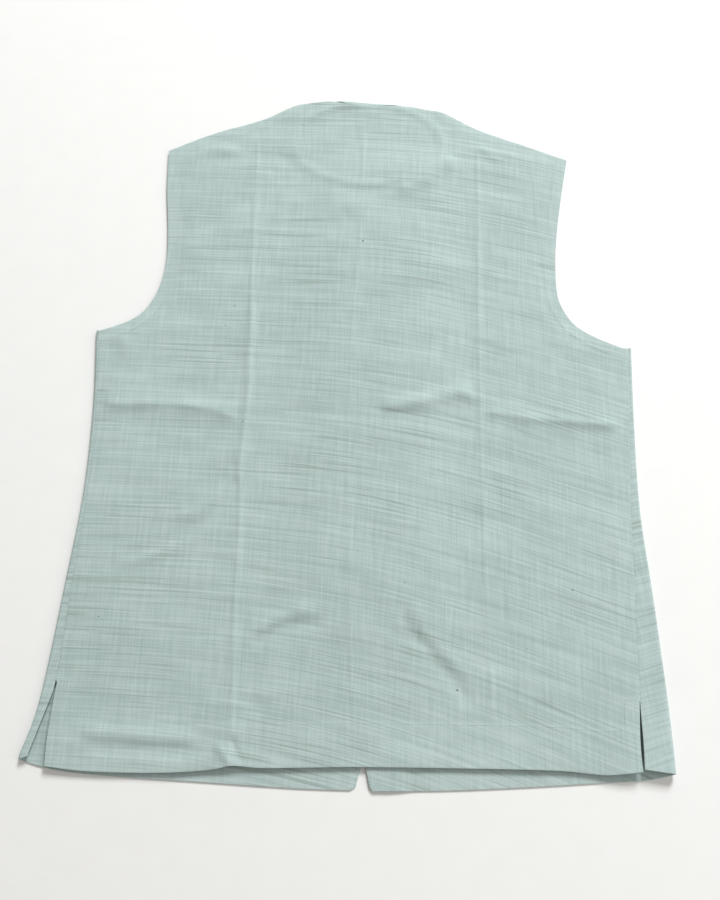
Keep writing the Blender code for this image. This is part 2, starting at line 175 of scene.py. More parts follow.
BACK_HEM = [
    (-27.82, -42.95),
    (-24.60, -43.25),
    (-20.00, -43.28),
    (-15.50, -43.08),
    (-12.30, -42.72),
    (-10.70, -42.35),
    (-8.10, -42.48),
    (0.10, -42.12),
    (9.30, -41.92),
    (19.40, -41.82),
    (23.30, -42.05),
    (25.00, -41.90),
    (26.86, -41.62),
]
FRONT_HEM = {
    "left": [(-0.20, -44.15), (4.40, -44.15), (13.50, -43.88), (22.80, -43.60),
             (26.60, -43.32), (28.70, -42.92), (30.20, -42.50), (31.60, -42.02)],
    "right": [(2.30, -44.15), (8.40, -43.92), (15.70, -43.41), (23.10, -42.76),
              (27.20, -42.40), (29.00, -42.05), (30.10, -41.78), (31.40, -41.62),
              (33.60, -41.38)],
}
# The lapped edge of each front, from its rounded hem corner up.
FRONT_EDGE = {
    "left": [(0.20, -44.15), (0.66, -43.85), (0.90, -43.00), (1.15, -42.20),
             (1.42, -41.40), (2.50, -37.80), (3.10, -34.20), (3.25, -30.50),
             (3.25, -20.00)],
    "right": [(2.30, -44.15), (2.02, -43.85), (1.80, -43.00), (1.48, -41.60),
              (0.50, -37.80), (-0.10, -34.20), (-0.25, -30.50), (-0.25, -20.00)],
}
FRONT_NECK = {
    "left": [(3.25, 18.38), (1.50, 18.37), (-1.80, 18.50), (-4.90, 19.60),
             (-7.20, 21.70), (-8.50, 24.70), (-8.55, 28.02)],
    "right": [(-0.25, 18.38), (1.50, 18.37), (3.80, 18.70), (6.10, 20.00),
              (7.80, 22.20), (8.46, 24.80), (8.50, 27.38)],
}
FRONT_SHOULDER = {
    "left": [(-8.55, 28.02), (-12.25, 26.20), (-17.40, 24.30), (-22.25, 21.95)],
    "right": [(8.50, 27.38), (12.20, 25.66), (17.15, 23.90), (21.75, 22.20)],
}
# Neck seam of the collar: x, y, how many degrees the band rolls under there, and how far
# its seam edge laps back over the roll, in millimetres.
COLLAR = [
    (1.20, 18.46, 0, 0.0), (-1.80, 18.58, 0, 0.0), (-4.82, 19.66, 0, 0.0),
    (-7.10, 21.76, 0, 0.0), (-8.34, 24.60, 15, 0.0), (-7.90, 27.00, 50, 0.0),
    (-6.40, 28.34, 60, 0.0), (-4.95, 28.86, 80, 0.0), (-4.00, 29.06, 100, 0.0),
    (-3.00, 29.11, 180, 1.4), (-2.00, 29.05, 180, 2.6), (-0.60, 28.95, 180, 2.2),
    (0.80, 28.87, 180, 1.4), (2.60, 28.80, 150, 0.2), (4.10, 28.56, 90, 0.0),
    (5.90, 28.05, 80, 0.0), (7.45, 27.10, 55, 0.0), (8.28, 24.80, 15, 0.0),
    (7.70, 22.26, 0, 0.0), (6.03, 20.07, 0, 0.0), (3.78, 18.79, 0, 0.0),
    (1.80, 18.47, 0, 0.0),
]

# Pressed folds of the back, from being stored folded: points in centimetres from the
# left or the top, half widths in millimetres on the right or upper flank and on the left
# or lower one, height in millimetres, and how far the ends fade, in centimetres.
PRESSED_FOLDS = {
    "left_fold": ([(-12.5, 24.5), (-12.1, 8.0), (-11.7, -3.0), (-11.6, -9.0),
                   (-11.9, -14.0), (-11.5, -20.0), (-11.4, -27.0), (-10.9, -40.0)],
                  (1.8, 3.4), 1.00, 3.0),
    "left_fold_peak": ([(-11.8, 6.0), (-11.6, -6.0), (-11.9, -13.0), (-12.2, -17.5)],
                       (2.0, 5.0), 1.20, 4.0),
    "centre_fold": ([(-0.8, 28.0), (-0.7, 17.0), (-1.2, 1.0), (-1.1, -14.0),
                     (-0.4, -27.0), (0.1, -38.0)], (2.0, 2.2), 0.42, 3.0),
    "right_fold": ([(12.0, 25.0), (12.0, 11.0), (12.1, -6.0), (12.4, -16.6),
                    (12.7, -26.5), (13.4, -39.5)], (1.8, 2.6), 0.65, 3.0),
    "right_fold_top": ([(12.0, 20.0), (12.1, 8.0), (12.2, -9.0)], (2.0, 4.0), 0.60, 4.0),
    "cross_left": ([(-27.2, -7.9), (-22.0, -7.8), (-18.5, -7.8), (-15.0, -8.2),
                    (-12.2, -9.2)], (10.0, 7.0), 2.90, 1.6),
    "cross_middle": ([(-11.4, -9.0), (-7.0, -8.0), (-2.0, -7.8), (3.0, -7.9), (8.0, -8.1),
                      (11.8, -8.8)], (3.0, 9.0), -1.02, 1.8),
    "cross_right": ([(12.3, -7.4), (15.5, -7.8), (18.2, -8.2), (22.0, -8.3),
                     (27.2, -8.6)], (8.0, 5.5), 2.30, 1.6),
}
# Softer wrinkles, in the same order and units.
WRINKLES = {
    "cross_hump": ([(1.4, -7.5), (4.5, -7.0), (8.0, -6.1), (10.4, -5.5), (12.2, -6.8)],
                   (9.0, 7.0), 2.40, 1.8),
    "offshoot": ([(-11.8, -15.0), (-13.0, -17.6), (-14.6, -19.6), (-17.4, -21.2),
                  (-22.9, -23.8)], (5.0, 5.0), -2.20, 1.6),
    "offshoot_lip": ([(-12.6, -13.8), (-13.6, -16.2), (-15.0, -18.0), (-17.8, -19.8)],
                     (7.0, 5.0), 1.60, 1.6),
    "low_diagonal": ([(-15.0, -20.6), (-17.6, -22.0), (-23.2, -24.6)],
                     (5.0, 6.0), 0.80, 2.0),
    "arc": ([(-2.6, -29.2), (-6.0, -29.6), (-8.0, -30.6), (-9.3, -32.0)],
            (5.0, 5.0), -1.60, 1.4),
    "arc_lip": ([(-9.9, -30.8), (-8.2, -29.5), (-6.2, -28.5), (-3.4, -27.9)],
                (7.0, 7.0), 1.70, 1.6),
    "arc_tail": ([(-9.3, -32.0), (-9.6, -34.0), (-9.4, -36.0)], (4.0, 4.0), -0.51, 0.8),
    "long_diagonal": ([(4.6, -26.4), (5.2, -29.1), (7.7, -32.0), (10.2, -35.0),
                       (11.4, -36.6)], (4.5, 4.5), -2.20, 1.6),
    "long_diagonal_lip": ([(5.6, -26.6), (6.3, -29.4), (9.0, -32.0), (11.6, -34.6)],
                          (5.0, 5.0), 0.94, 1.8),
    "slope_right": ([(15.5, -29.4), (18.5, -30.6), (22.5, -32.4)], (7.0, 7.0), -0.85, 2.0),
    "hem_band": ([(-24.5, -41.2), (-20.5, -41.4), (-16.0, -41.3), (-13.0, -41.3)],
                 (5.5, 5.5), -1.60, 2.0),
    "hem_band_lip": ([(-25.5, -39.9), (-20.5, -40.0), (-13.6, -40.2)],
                     (8.0, 6.0), 1.70, 2.0),
    "pucker_ridge": ([(-12.6, -40.2), (-11.6, -41.2), (-10.6, -42.6)],
                     (3.2, 3.5), 1.10, 0.8),
    "pucker_trough": ([(-11.2, -39.6), (-10.4, -41.0), (-9.6, -42.4)],
                      (3.2, 3.2), -1.00, 0.8),
    "hem_patch": ([(-10.4, -35.9), (-8.9, -36.9), (-7.6, -37.9)], (6.0, 6.0), -0.94, 1.0),
    "tip_patch": ([(-19.2, 22.1), (-16.6, 22.3), (-13.8, 22.0)], (6.0, 6.0), 1.80, 1.4),
    "tip_diagonal": ([(-10.9, 22.6), (-9.6, 21.4), (-8.6, 20.2)], (4.5, 4.5), -0.94, 0.8),
    "tip_diagonal_low": ([(-11.4, 20.6), (-10.0, 19.4), (-9.0, 18.2)], (4.5, 4.5), -0.77, 0.8),
    "blade_diagonal": ([(-12.8, 16.6), (-15.5, 14.4), (-18.3, 11.7)], (6.0, 6.0), -1.80, 1.6),
    "blade_short": ([(-11.7, 16.6), (-9.1, 15.3)], (5.0, 5.0), -0.68, 0.9),
    "neck_patch": ([(2.6, 17.9), (5.3, 18.5), (7.3, 20.3), (9.5, 22.5)],
                   (6.0, 8.0), 2.80, 1.6),
    "shoulder_ridge": ([(11.9, 23.9), (13.2, 22.8), (14.8, 21.5)], (4.5, 4.5), 0.94, 1.0),
    "underarm_left": ([(-27.0, -0.6), (-25.9, -2.4), (-25.4, -4.6)], (5.0, 5.0), -0.94, 1.2),
    "underarm_left_lip": ([(-26.2, 0.2), (-24.6, -1.6), (-23.9, -3.6)], (5.0, 5.0), 0.68, 1.2),
    "underarm_right": ([(18.6, 0.0), (20.8, -1.1), (22.6, -2.6)], (5.0, 5.0), -0.85, 1.2),
    "underarm_right_low": ([(22.4, -1.2), (24.6, -2.2), (26.0, -3.4)], (5.0, 5.0), -0.59, 1.2),
    "side_line": ([(25.2, -7.0), (25.3, -18.0), (25.4, -29.5)], (2.4, 2.4), 0.42, 2.0),
    "spine_dimple": ([(-2.6, 15.4), (-1.8, 13.2)], (3.5, 3.5), -0.77, 0.7),
}
# Slow swells of the back: x, y, half widths in centimetres, and height in millimetres.
SWELLS = [
    (-18.0, 10.0, 6.0, 9.0, 0.35),
    (-5.5, 6.0, 5.0, 9.0, -0.25),
    (6.0, 9.0, 5.0, 8.0, 0.25),
    (17.0, 8.0, 4.5, 8.0, -0.20),
    (-20.0, -15.0, 6.0, 5.0, 0.35),
    (-6.0, -18.0, 5.0, 7.0, -0.25),
    (5.0, -17.0, 5.0, 7.0, 0.25),
    (19.0, -16.0, 5.5, 7.0, -0.25),
    (-19.0, -32.0, 6.0, 6.0, -0.30),
    (-5.0, -37.0, 5.0, 4.0, 0.30),
    (6.5, -38.0, 5.0, 4.0, -0.25),
    (19.0, -34.0, 6.0, 6.0, 0.30),
]
# Print of the folded collar on the back: centre, half widths, and its rim's height and
# half widths inside and outside.
PRINT_CENTRE = (-0.3 * CM, 23.6 * CM)
PRINT_HALF = (8.3 * CM, 5.1 * CM)
PRINT_HEIGHT = 1.5 * MM
PRINT_FLANKS = (2.6 * MM, 4.5 * MM)

# Turned edges, stitched down: how wide the doubled cloth is and how far it stands up.
ARMHOLE_TURN = 1.25 * CM
HEM_TURN = 3.9 * CM
VENT_TURN = 1.45 * CM
SHOULDER_TURN = 1.1 * CM
TURN_RISE = 0.35 * MM
TURN_SOFT = 1.6 * MM


# ---- Measuring ------------------------------------------------------------------------


def ease(amount):
    """Rise smoothly from 0 to 1."""
    t = np.clip(amount, 0.0, 1.0)
    return t * t * (3.0 - 2.0 * t)


def mix(start, end, amount):
    return start + (end - start) * amount


def steps(count):
    return np.linspace(0.0, 1.0, count + 1)


def crowded(count, amount):
    """Places from 0 to 1 that lie closer together at both ends."""
    t = steps(count)
    return t - amount * np.sin(2 * math.pi * t) / (2 * math.pi)


def paired(x, y):
    return np.stack([x, y], axis=-1)


def hermite(knots, column, at):
    """Smooth values at some heights, through a column of values at rising knots."""
    knots, column = np.asarray(knots, float), np.asarray(column, float)
    last = len(knots) - 1
    at = np.clip(at, knots[0], knots[last])
    low = np.clip(np.searchsorted(knots, at, side="right") - 1, 0, last - 1)
    before = np.maximum(np.arange(last + 1) - 1, 0)
    after = np.minimum(np.arange(last + 1) + 1, last)
    slope = (column[after] - column[before]) / (knots[after] - knots[before])
    span = knots[low + 1] - knots[low]
    t = (at - knots[low]) / span
    start = column[low] * (1 - t) ** 2 * (1 + 2 * t) + slope[low] * span * t * (1 - t) ** 2
    end = column[low + 1] * t * t * (3 - 2 * t)
    return start + end - slope[low + 1] * span * t * t * (1 - t)


def read_table(table, knots, column, at):
    """Smooth values of one column of a table, between the knots in another, in metres."""
    return hermite([row[knots] * CM for row in table], [row[column] * CM for row in table], at)


def run_along(points):
    """Length along a line from its first point to each of its points."""
    spans = np.hypot(*(points[1:, :2] - points[:-1, :2]).T)
    return np.concatenate([[0.0], np.cumsum(spans)])


def curve_through(points, fractions, units=(CM, CM)):
    """Points at the given fractions of a smooth curve's length, in metres."""
    table = np.array(points, float)
    knots = run_along(table)
    at = np.asarray(fractions) * knots[-1]
    columns = [hermite(knots, table[:, k], at) * units[k] for k in range(len(units))]
    return np.stack(columns, axis=1)


def edge_through(curves, counts):
    """Points along joined curves, with a share of them for each curve."""
    parts = [curve_through(curve, steps(count))[(1 if i else 0):]
             for i, (curve, count) in enumerate(zip(curves, counts))]
    return np.concatenate(parts)


def nearest_on(line, x, y):
    """Distance from points to a line, place along it, which side, and its length."""
    gap = np.full(x.shape, np.inf)
    along = np.zeros(x.shape)
    side = np.ones(x.shape)
    run = 0.0
    for start, end in zip(line[:-1], line[1:]):
        step = end - start
        length = math.hypot(*step)
        dx, dy = x - start[0], y - start[1]
        t = np.clip((dx * step[0] + dy * step[1]) / length ** 2, 0.0, 1.0)
        here = np.hypot(dx - t * step[0], dy - t * step[1])
        closer = here < gap
        gap = np.where(closer, here, gap)
        along = np.where(closer, run + t * length, along)
        side = np.where(closer, np.sign(step[0] * dy - step[1] * dx), side)
        run += length
    return gap, along, side, run


# ---- The pattern ----------------------------------------------------------------------


def side_at(side, height):
    """Fold line, wrap width and fold radius of one side at some heights."""
    first = 1 if side == "left" else 4
    fold, wrap, radius = (read_table(SIDES, 0, first + k, height) for k in range(3))
    return np.abs(fold), wrap, radius


def back_edge_at(side, height):
    """Signed x of the back's side edge: the side seam, and the vent edge below it."""
    sign = SIGN[side]
    fold, wrap, _ = side_at(side, height)
    column = 1 if side == "left" else 2
    vent = read_table(BACK_VENTS, 0, column, height)
    return np.where(height < VENT_TOP, vent, sign * (fold - wrap))


def outline_y(points, x):
    """Height of an outline given from left to right, at some x."""
    return read_table(points, 0, 1, x)


def armhole_line(table, side):
    """The points of one armhole, from the underarm up."""
    column = 0 if side == "left" else 2
    return [row[column:column + 2] for row in table]


def underarm_at(x):
    """Height of the back's underarm on the side of some points."""
    return np.where(x < 0, ARMHOLES[0][1], ARMHOLES[0][3]) * CM


def armhole_edge(x, y):
    """Distance out to the armhole or side edge of the back at a point."""
    left = read_table(ARMHOLES, 1, 0, y)
    right = read_table(ARMHOLES, 3, 2, y)
    armhole = np.where(x < 0, -left, right)
    seam = np.where(x < 0, -back_edge_at("left", y), back_edge_at("right", y))
    return np.where(y > underarm_at(x), armhole, seam)


def placket_at(x, y, flat=PLACKET_FLAT, foot=PLACKET_FOOT, top=PLACKET_TOP):
    """How far the buttons lift the cloth along the centre front, from 0 to 1."""
    across = ease((foot - np.abs(x - CENTRE_FRONT)) / (foot - flat))
    below = ease(1.0 - (PLACKET_END - y) / PLACKET_FADE)
    above = ease(1.0 - (y - top) / PLACKET_TOP_FADE)
    return across * below * above


def lap_at(x):
    """How far the right front is stepped up over the left one, from 0 to 1."""
    return ease(1.0 - (x - CENTRE_FRONT - LAP - LAP_CLEAR) / LAP_FOOT)


def front_level(side, x, y):
    """Height of a front's middle surface over the ground, before it wraps."""
    level = CLOTH / 2 + PLACKET_LIFT * placket_at(x, y)
    return level + LAP_STEP * lap_at(x) if side == "right" else level


def back_level(x, y):
    """Height of the back's middle surface over the ground, without its creases."""
    level = BACK_LEVEL + PLACKET_LIFT * placket_at(x, y, RIDGE_FLAT, RIDGE_FOOT, RIDGE_TOP)
    near_hem = ease(1.0 - (y - outline_y(BACK_HEM, x)) / HEM_LIFT_REACH)
    pucker = np.exp(-((x - PUCKER_X) / PUCKER_WIDTH) ** 2)
    level = level + near_hem * (HEM_LIFT + PUCKER_LIFT * pucker)
    below_top = outline_y(BACK_TOP, x) - y
    outside_neck = ease((np.abs(x) - NECK_CORNER) / NECK_CORNER_FADE)
    top_level = mix(NECK_LEVEL, EDGE_LEVEL, outside_neck)
    top_reach = mix(NECK_REACH, SHOULDER_REACH, outside_neck)
    level = mix(level, top_level, ease(1.0 - below_top / top_reach))
    reach = np.where(y > underarm_at(x), ARMHOLE_REACH, SIDE_REACH)
    below_underarm = np.minimum(y, 0.0)
    radius = np.where(x < 0, side_at("left", below_underarm)[2],
                      side_at("right", below_underarm)[2])
    edge_level = mix(CLOTH / 2 + 2 * radius, EDGE_LEVEL, ease(y / UNDERARM_FADE))
    return mix(level, edge_level, ease(1.0 - (armhole_edge(x, y) - np.abs(x)) / reach))


# ---- Relief of the back ---------------------------------------------------------------


CREST = 0.25


def pressed(gap):
    """A pressed fold's profile: a crest with straight flanks, from a distance in widths."""
    return np.exp(CREST - np.sqrt(gap * gap + CREST ** 2))


def rounded(gap):
    """A soft wrinkle's profile."""
    return np.exp(-gap * gap)


# A fold's height wavers along it: share of the height, radians for each metre, and the
# turn in radians from one fold to the next.
WAVERS = ((0.18, 160.0, 1.0), (0.12, 71.0, -1.0))


def lines_relief(lines, profile, x, y):
    """Height that a table of folds or wrinkles adds at some points."""
    relief = np.zeros(x.shape)
    for order, (points, flanks, height, fade) in enumerate(lines.values()):
        line = curve_through(points, steps(6 * len(points)))
        reach = 5 * max(flanks) * MM
        low, high = line.min(axis=0) - reach, line.max(axis=0) + reach
        near = (x > low[0]) & (x < high[0]) & (y > low[1]) & (y < high[1])
        gap, along, side, length = nearest_on(line, x[near], y[near])
        # Lines run down or to the right, so their left is the right or the upper flank.
        flank = np.where(side > 0, flanks[0], flanks[1]) * MM
        ends = ease(along / (fade * CM)) * ease((length - along) / (fade * CM))
        waver = 1.0 + sum(share * np.sin(along * rate + order * shift)
                          for share, rate, shift in WAVERS)
        relief[near] += height * MM * ends * waver * profile(gap / flank)
    return relief


def collar_print(x, y):
    """The rim that the folded collar presses up into the back."""
    across = (x - PRINT_CENTRE[0]) / PRINT_HALF[0]
    up = (y - PRINT_CENTRE[1]) / PRINT_HALF[1]
    out = np.hypot(across, up)
    turn = np.arctan2(up, across)
    radius = np.hypot(PRINT_HALF[0] * np.cos(turn), PRINT_HALF[1] * np.sin(turn))
    gap = (out - 1.0) * radius
    flank = np.where(gap > 0, PRINT_FLANKS[1], PRINT_FLANKS[0])
    uneven = 0.85 + 0.15 * np.sin(3 * turn + 1.0) + 0.10 * np.sin(7 * turn)
    return PRINT_HEIGHT * uneven * rounded(gap / flank)


WAVES = np.random.default_rng(11)
WAVE_COUNT = 70
WAVE_LENGTHS = WAVES.uniform(1.2, 7.0, WAVE_COUNT) * CM
WAVE_TURNS = WAVES.normal(math.pi / 2, 0.5, WAVE_COUNT)
WAVE_STARTS = WAVES.uniform(0.0, 2 * math.pi, WAVE_COUNT)
WAVE_HEIGHT = 0.0009


def unevenness(x, y):
    """The small swells that laid-out cloth keeps, mostly across the body."""
    relief = np.zeros(x.shape)
    for length, turn, start in zip(WAVE_LENGTHS, WAVE_TURNS, WAVE_STARTS):
        way = (x * math.cos(turn) + y * math.sin(turn)) * 2 * math.pi / length
        relief += WAVE_HEIGHT * length * np.sin(way + start)
    return relief


def folded_over(*edges):
    """Where turned edges double the cloth, from 0 to 1: distances in, and turned widths."""
    return np.maximum.reduce([ease((width - gap) / TURN_SOFT + 0.5) for gap, width in edges])


def turned_back(x, y):
    """Where the back's turned edges double the cloth, from 0 to 1."""
    armholes = [curve_through(armhole_line(ARMHOLES, side), steps(60)) for side in SIGN]
    armhole_gap = np.minimum(*(nearest_on(line, x, y)[0] for line in armholes))
    hem_gap = y - outline_y(BACK_HEM, x)
    vent_gap = armhole_edge(x, y) - np.abs(x) + 2 * VENT_TURN * ease((y - VENT_TOP) / CM)
    shoulder_gap = outline_y(BACK_TOP, x) - y
    shoulder_gap = shoulder_gap + 2 * SHOULDER_TURN * ease((NECK_CORNER - np.abs(x)) / CM)
    return folded_over((armhole_gap, ARMHOLE_TURN), (hem_gap, HEM_TURN),
                       (vent_gap, VENT_TURN), (shoulder_gap, SHOULDER_TURN))


# Creases flatten towards the edges, and troughs keep off the layers underneath.
EDGE_RELIEF = 0.25
EDGE_RELIEF_REACH = 2.5 * CM
LEAST_ROOM = 0.05 * MM


def back_height(x, y):
    """Height of the back's middle surface with its folds, kept off what lies under it."""
    level = back_level(x, y)
    relief = lines_relief(PRESSED_FOLDS, pressed, x, y)
    relief += lines_relief(WRINKLES, rounded, x, y)
    relief += collar_print(x, y) + unevenness(x, y)
    for centre_x, centre_y, half_x, half_y, height in SWELLS:
        away = ((x - centre_x * CM) / (half_x * CM)) ** 2
        away = away + ((y - centre_y * CM) / (half_y * CM)) ** 2
        relief += height * MM * np.exp(-away)
    inside = armhole_edge(x, y) - np.abs(x)
    relief *= mix(EDGE_RELIEF, 1.0, ease(inside / EDGE_RELIEF_REACH))
    relief += TURN_RISE * turned_back(x, y)
    under = np.maximum(front_level("left", x, y), front_level("right", x, y))
    room = level - under - CLOTH - GAP / 2
    room = np.maximum(room, 0.0) + LEAST_ROOM
    sunk = -room * (1.0 - np.exp(np.minimum(relief, 0.0) / room))
    return level + np.where(relief < 0, sunk, relief)


# ---- Cloth ----------------------------------------------------------------------------

BOW_START = -14.6 * CM
BOW_START_GAIN = 0.44
BOW_END = 23.0 * CM
BOW_SLOPE = 0.247
BOW_GAIN = 0.0018 / CM


# Each piece's weave starts at its own place, in metres, so that its slubs are its own.
WEAVE_SHIFT = {"left": -1.0, "back": 0.0, "right": 1.0, "collar": 3.0}


def bowed(x, y):
    """Place along the warp: the weft droops towards the right, more at the hem."""
    start = BOW_START + BOW_START_GAIN * y
    span = BOW_END - start
    t = np.clip((x - start) / span, 0.0, 1.2)
    slope = BOW_SLOPE - BOW_GAIN * y
    return y + slope * span * (t ** 3 - t ** 4 / 2)


def placed(x, y, z):
    """Pattern points as corners in the frame."""
    return np.stack([x + MIDDLE_X, y + CHEST_Y, z], axis=-1).reshape(-1, 3)


def link(name, mesh):
    """A new piece from a mesh, riding with the jacket."""
    piece = bpy.data.objects.new(name, mesh)
    bpy.context.collection.objects.link(piece)
    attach(piece, "root")
    return piece


def pick(piece):
    """Make a piece the only selected one."""
    bpy.ops.object.select_all(action="DESELECT")
    piece.select_set(True)
    bpy.context.view_layer.objects.active = piece


def round_edges(piece, width, segments, angle):
    """Round a piece's edges that are sharper than an angle in degrees."""
    rounding = piece.modifiers.new("rounding", "BEVEL")
    rounding.width = width
    rounding.segments = segments
    rounding.limit_method = "ANGLE"
    rounding.angle_limit = math.radians(angle)
    rounding.use_clamp_overlap = True


def apply_modifiers(piece):
    """Apply all of a piece's modifiers, in their order."""
    pick(piece)
    for modifier in list(piece.modifiers):
        bpy.ops.object.modifier_apply(modifier=modifier.name)


EDGE_SEGMENTS = 2
EDGE_ANGLE = 50


def cloth_sheet(name, corners, along, turned, thickness, finish):
    """A wall of cloth on a grid, with its weave's map and where it is doubled."""
    rows, columns = turned.shape
    first = np.arange((rows - 1) * columns).reshape(rows - 1, columns)[:, :-1].ravel()
    faces = np.stack([first, first + 1, first + columns + 1, first + columns], axis=1)
    mesh = bpy.data.meshes.new(name)
    mesh.from_pydata(corners.tolist(), [], faces.tolist())
    weave = mesh.uv_layers.new(name="weave")
    weave.data.foreach_set("uv", along.reshape(-1, 2)[faces.ravel()].ravel())
    doubled = mesh.attributes.new("doubled", "FLOAT", "POINT")
    doubled.data.foreach_set("value", turned.ravel())
    mesh.shade_smooth()
    mesh.materials.append(finish)
    piece = link(name, mesh)
    wall = piece.modifiers.new("wall", "SOLIDIFY")
    wall.thickness = thickness
    wall.offset = 0.0
    round_edges(piece, EDGE_ROUND, EDGE_SEGMENTS, EDGE_ANGLE)
    apply_modifiers(piece)
    return piece


CROSS_FOLD_Y = -8.1 * CM
# Rows below and above the cross fold and beside the armholes, then columns between folds.
BACK_ROWS = (150, 44, 100)
BACK_COLUMNS = (34, 38, 38, 34)
CROWDING = 0.6
ROW_CROWDING = 0.25
ARMHOLE_CROWDING = 1.2


def between(anchors, counts, amount=0.0):
    """Columns of values from each column of anchors to the next one."""
    parts = [mix(start, end, crowded(count, amount))[:, (1 if i else 0):]
             for i, (start, end, count) in enumerate(zip(anchors, anchors[1:], counts))]
    return np.concatenate(parts, axis=1)


def bent(start, end, shares, k, shapes):
    """Coordinate k of rows between two edges, bent to the hem's and the top's shapes."""
    middle = (start[:, 1:] + end[:, 1:]) / 2
    value = mix(start[:, k:k + 1], end[:, k:k + 1], shares)
    for row, shape, fade in zip((0, -1), shapes, (HEM_FADE, CHEST_FADE)):
        straight = mix(start[row, k], end[row, k], shares)
        strength = ease(1.0 - np.abs(middle - middle[row]) / fade)
        value = value + strength * (shape - straight)
    return value


def fold_x(name, y):
    """x of a vertical fold at some heights."""
    return read_table(PRESSED_FOLDS[name][0][::-1], 1, 0, y)


def back_grid():
    """Rows of points of the back, closer together at its pressed folds."""
    edges = {}
    for side, hem_corner in (("left", BACK_HEM[0]), ("right", BACK_HEM[-1])):
        armhole = armhole_line(ARMHOLES, side)
        below = mix(hem_corner[1] * CM, CROSS_FOLD_Y, crowded(BACK_ROWS[0], ROW_CROWDING))
        above = mix(CROSS_FOLD_Y, armhole[0][1] * CM, crowded(BACK_ROWS[1], ROW_CROWDING))
        y = np.concatenate([below, above[1:]])
        seam = paired(back_edge_at(side, y), y)
        armhole = curve_through(armhole, steps(BACK_ROWS[2]) ** ARMHOLE_CROWDING)
        edges[side] = np.concatenate([seam, armhole[1:]])
    left, right = edges["left"], edges["right"]

    def height_at(x):
        """Height of each row's points, which follow the hem below and the neck above."""
        share = (x - left[:, :1]) / (right[:, :1] - left[:, :1])
        shapes = [outline_y(outline, mix(left[row, 0], right[row, 0], share))
                  for row, outline in ((0, BACK_HEM), (-1, BACK_TOP))]
        return bent(left, right, share, 1, shapes)

    anchors = [left[:, :1]]
    for name in ("left_fold", "centre_fold", "right_fold"):
        guess = fold_x(name, left[:, 1:])
        anchors.append(fold_x(name, height_at(guess)))
    anchors.append(right[:, :1])
    x = between(anchors, BACK_COLUMNS, CROWDING)
    return x, height_at(x)


def make_back(finish):
    """The back in one piece, from vent edge to vent edge."""
    x, y = back_grid()
    z = back_height(x, y)
    along = paired(x + WEAVE_SHIFT["back"], bowed(x, y))
    return cloth_sheet("back_cloth", placed(x, y, z), along, turned_back(x, y), CLOTH, finish)


FRONT_ROWS = (84, 64)
NEAR_EDGE_WIDTH = 8.2 * CM
# Columns near the lapped edge, on the flat, round the side fold and in the wrap.
FRONT_COLUMNS = (18, 34, 14, 10)
SHOULDER_COLUMNS = 22
HEM_CROWDING = 1.5
UNDERARM_CROWDING = 1.8
FACING_TURN = 5.0 * CM
FRONT_HEM_TURN = 1.6 * CM
FRONT_VENT_TURN = 0.9 * CM
PUCKER_HALF = 0.7 * CM
PUCKER_START = 0.6 * CM
# Puckers of the side wraps: side, place up the side in centimetres, rise in millimetres.
WRAP_PUCKERS = [("right", -22.1, 0.30), ("right", -24.4, -0.25), ("right", -26.2, 0.30),
                ("right", -8.4, 0.25), ("right", -5.0, -0.2), ("left", -8.5, 0.25),
                ("left", -4.5, -0.2), ("left", -33.8, 0.2), ("right", -33.6, -0.2)]


def roll_round_side(side, x, y, level):
    """Wrap flat points of a front round the side fold."""
    sign = SIGN[side]
    fold, _, radius = side_at(side, y)
    start = fold - CLOTH / 2 - radius
    past = np.maximum(sign * x - start, 0.0)
    turn = np.minimum(math.pi, past / radius)
    over = np.maximum(0.0, past - math.pi * radius)
    for pucker_side, pucker_y, height in WRAP_PUCKERS:
        if pucker_side == side:
            near = rounded((y - pucker_y * CM) / PUCKER_HALF)
            level = level + height * MM * near * ease(over / PUCKER_START)
    out = np.minimum(sign * x, start) + radius * np.sin(turn) - over
    return sign * out, y, level + radius * (1.0 - np.cos(turn))


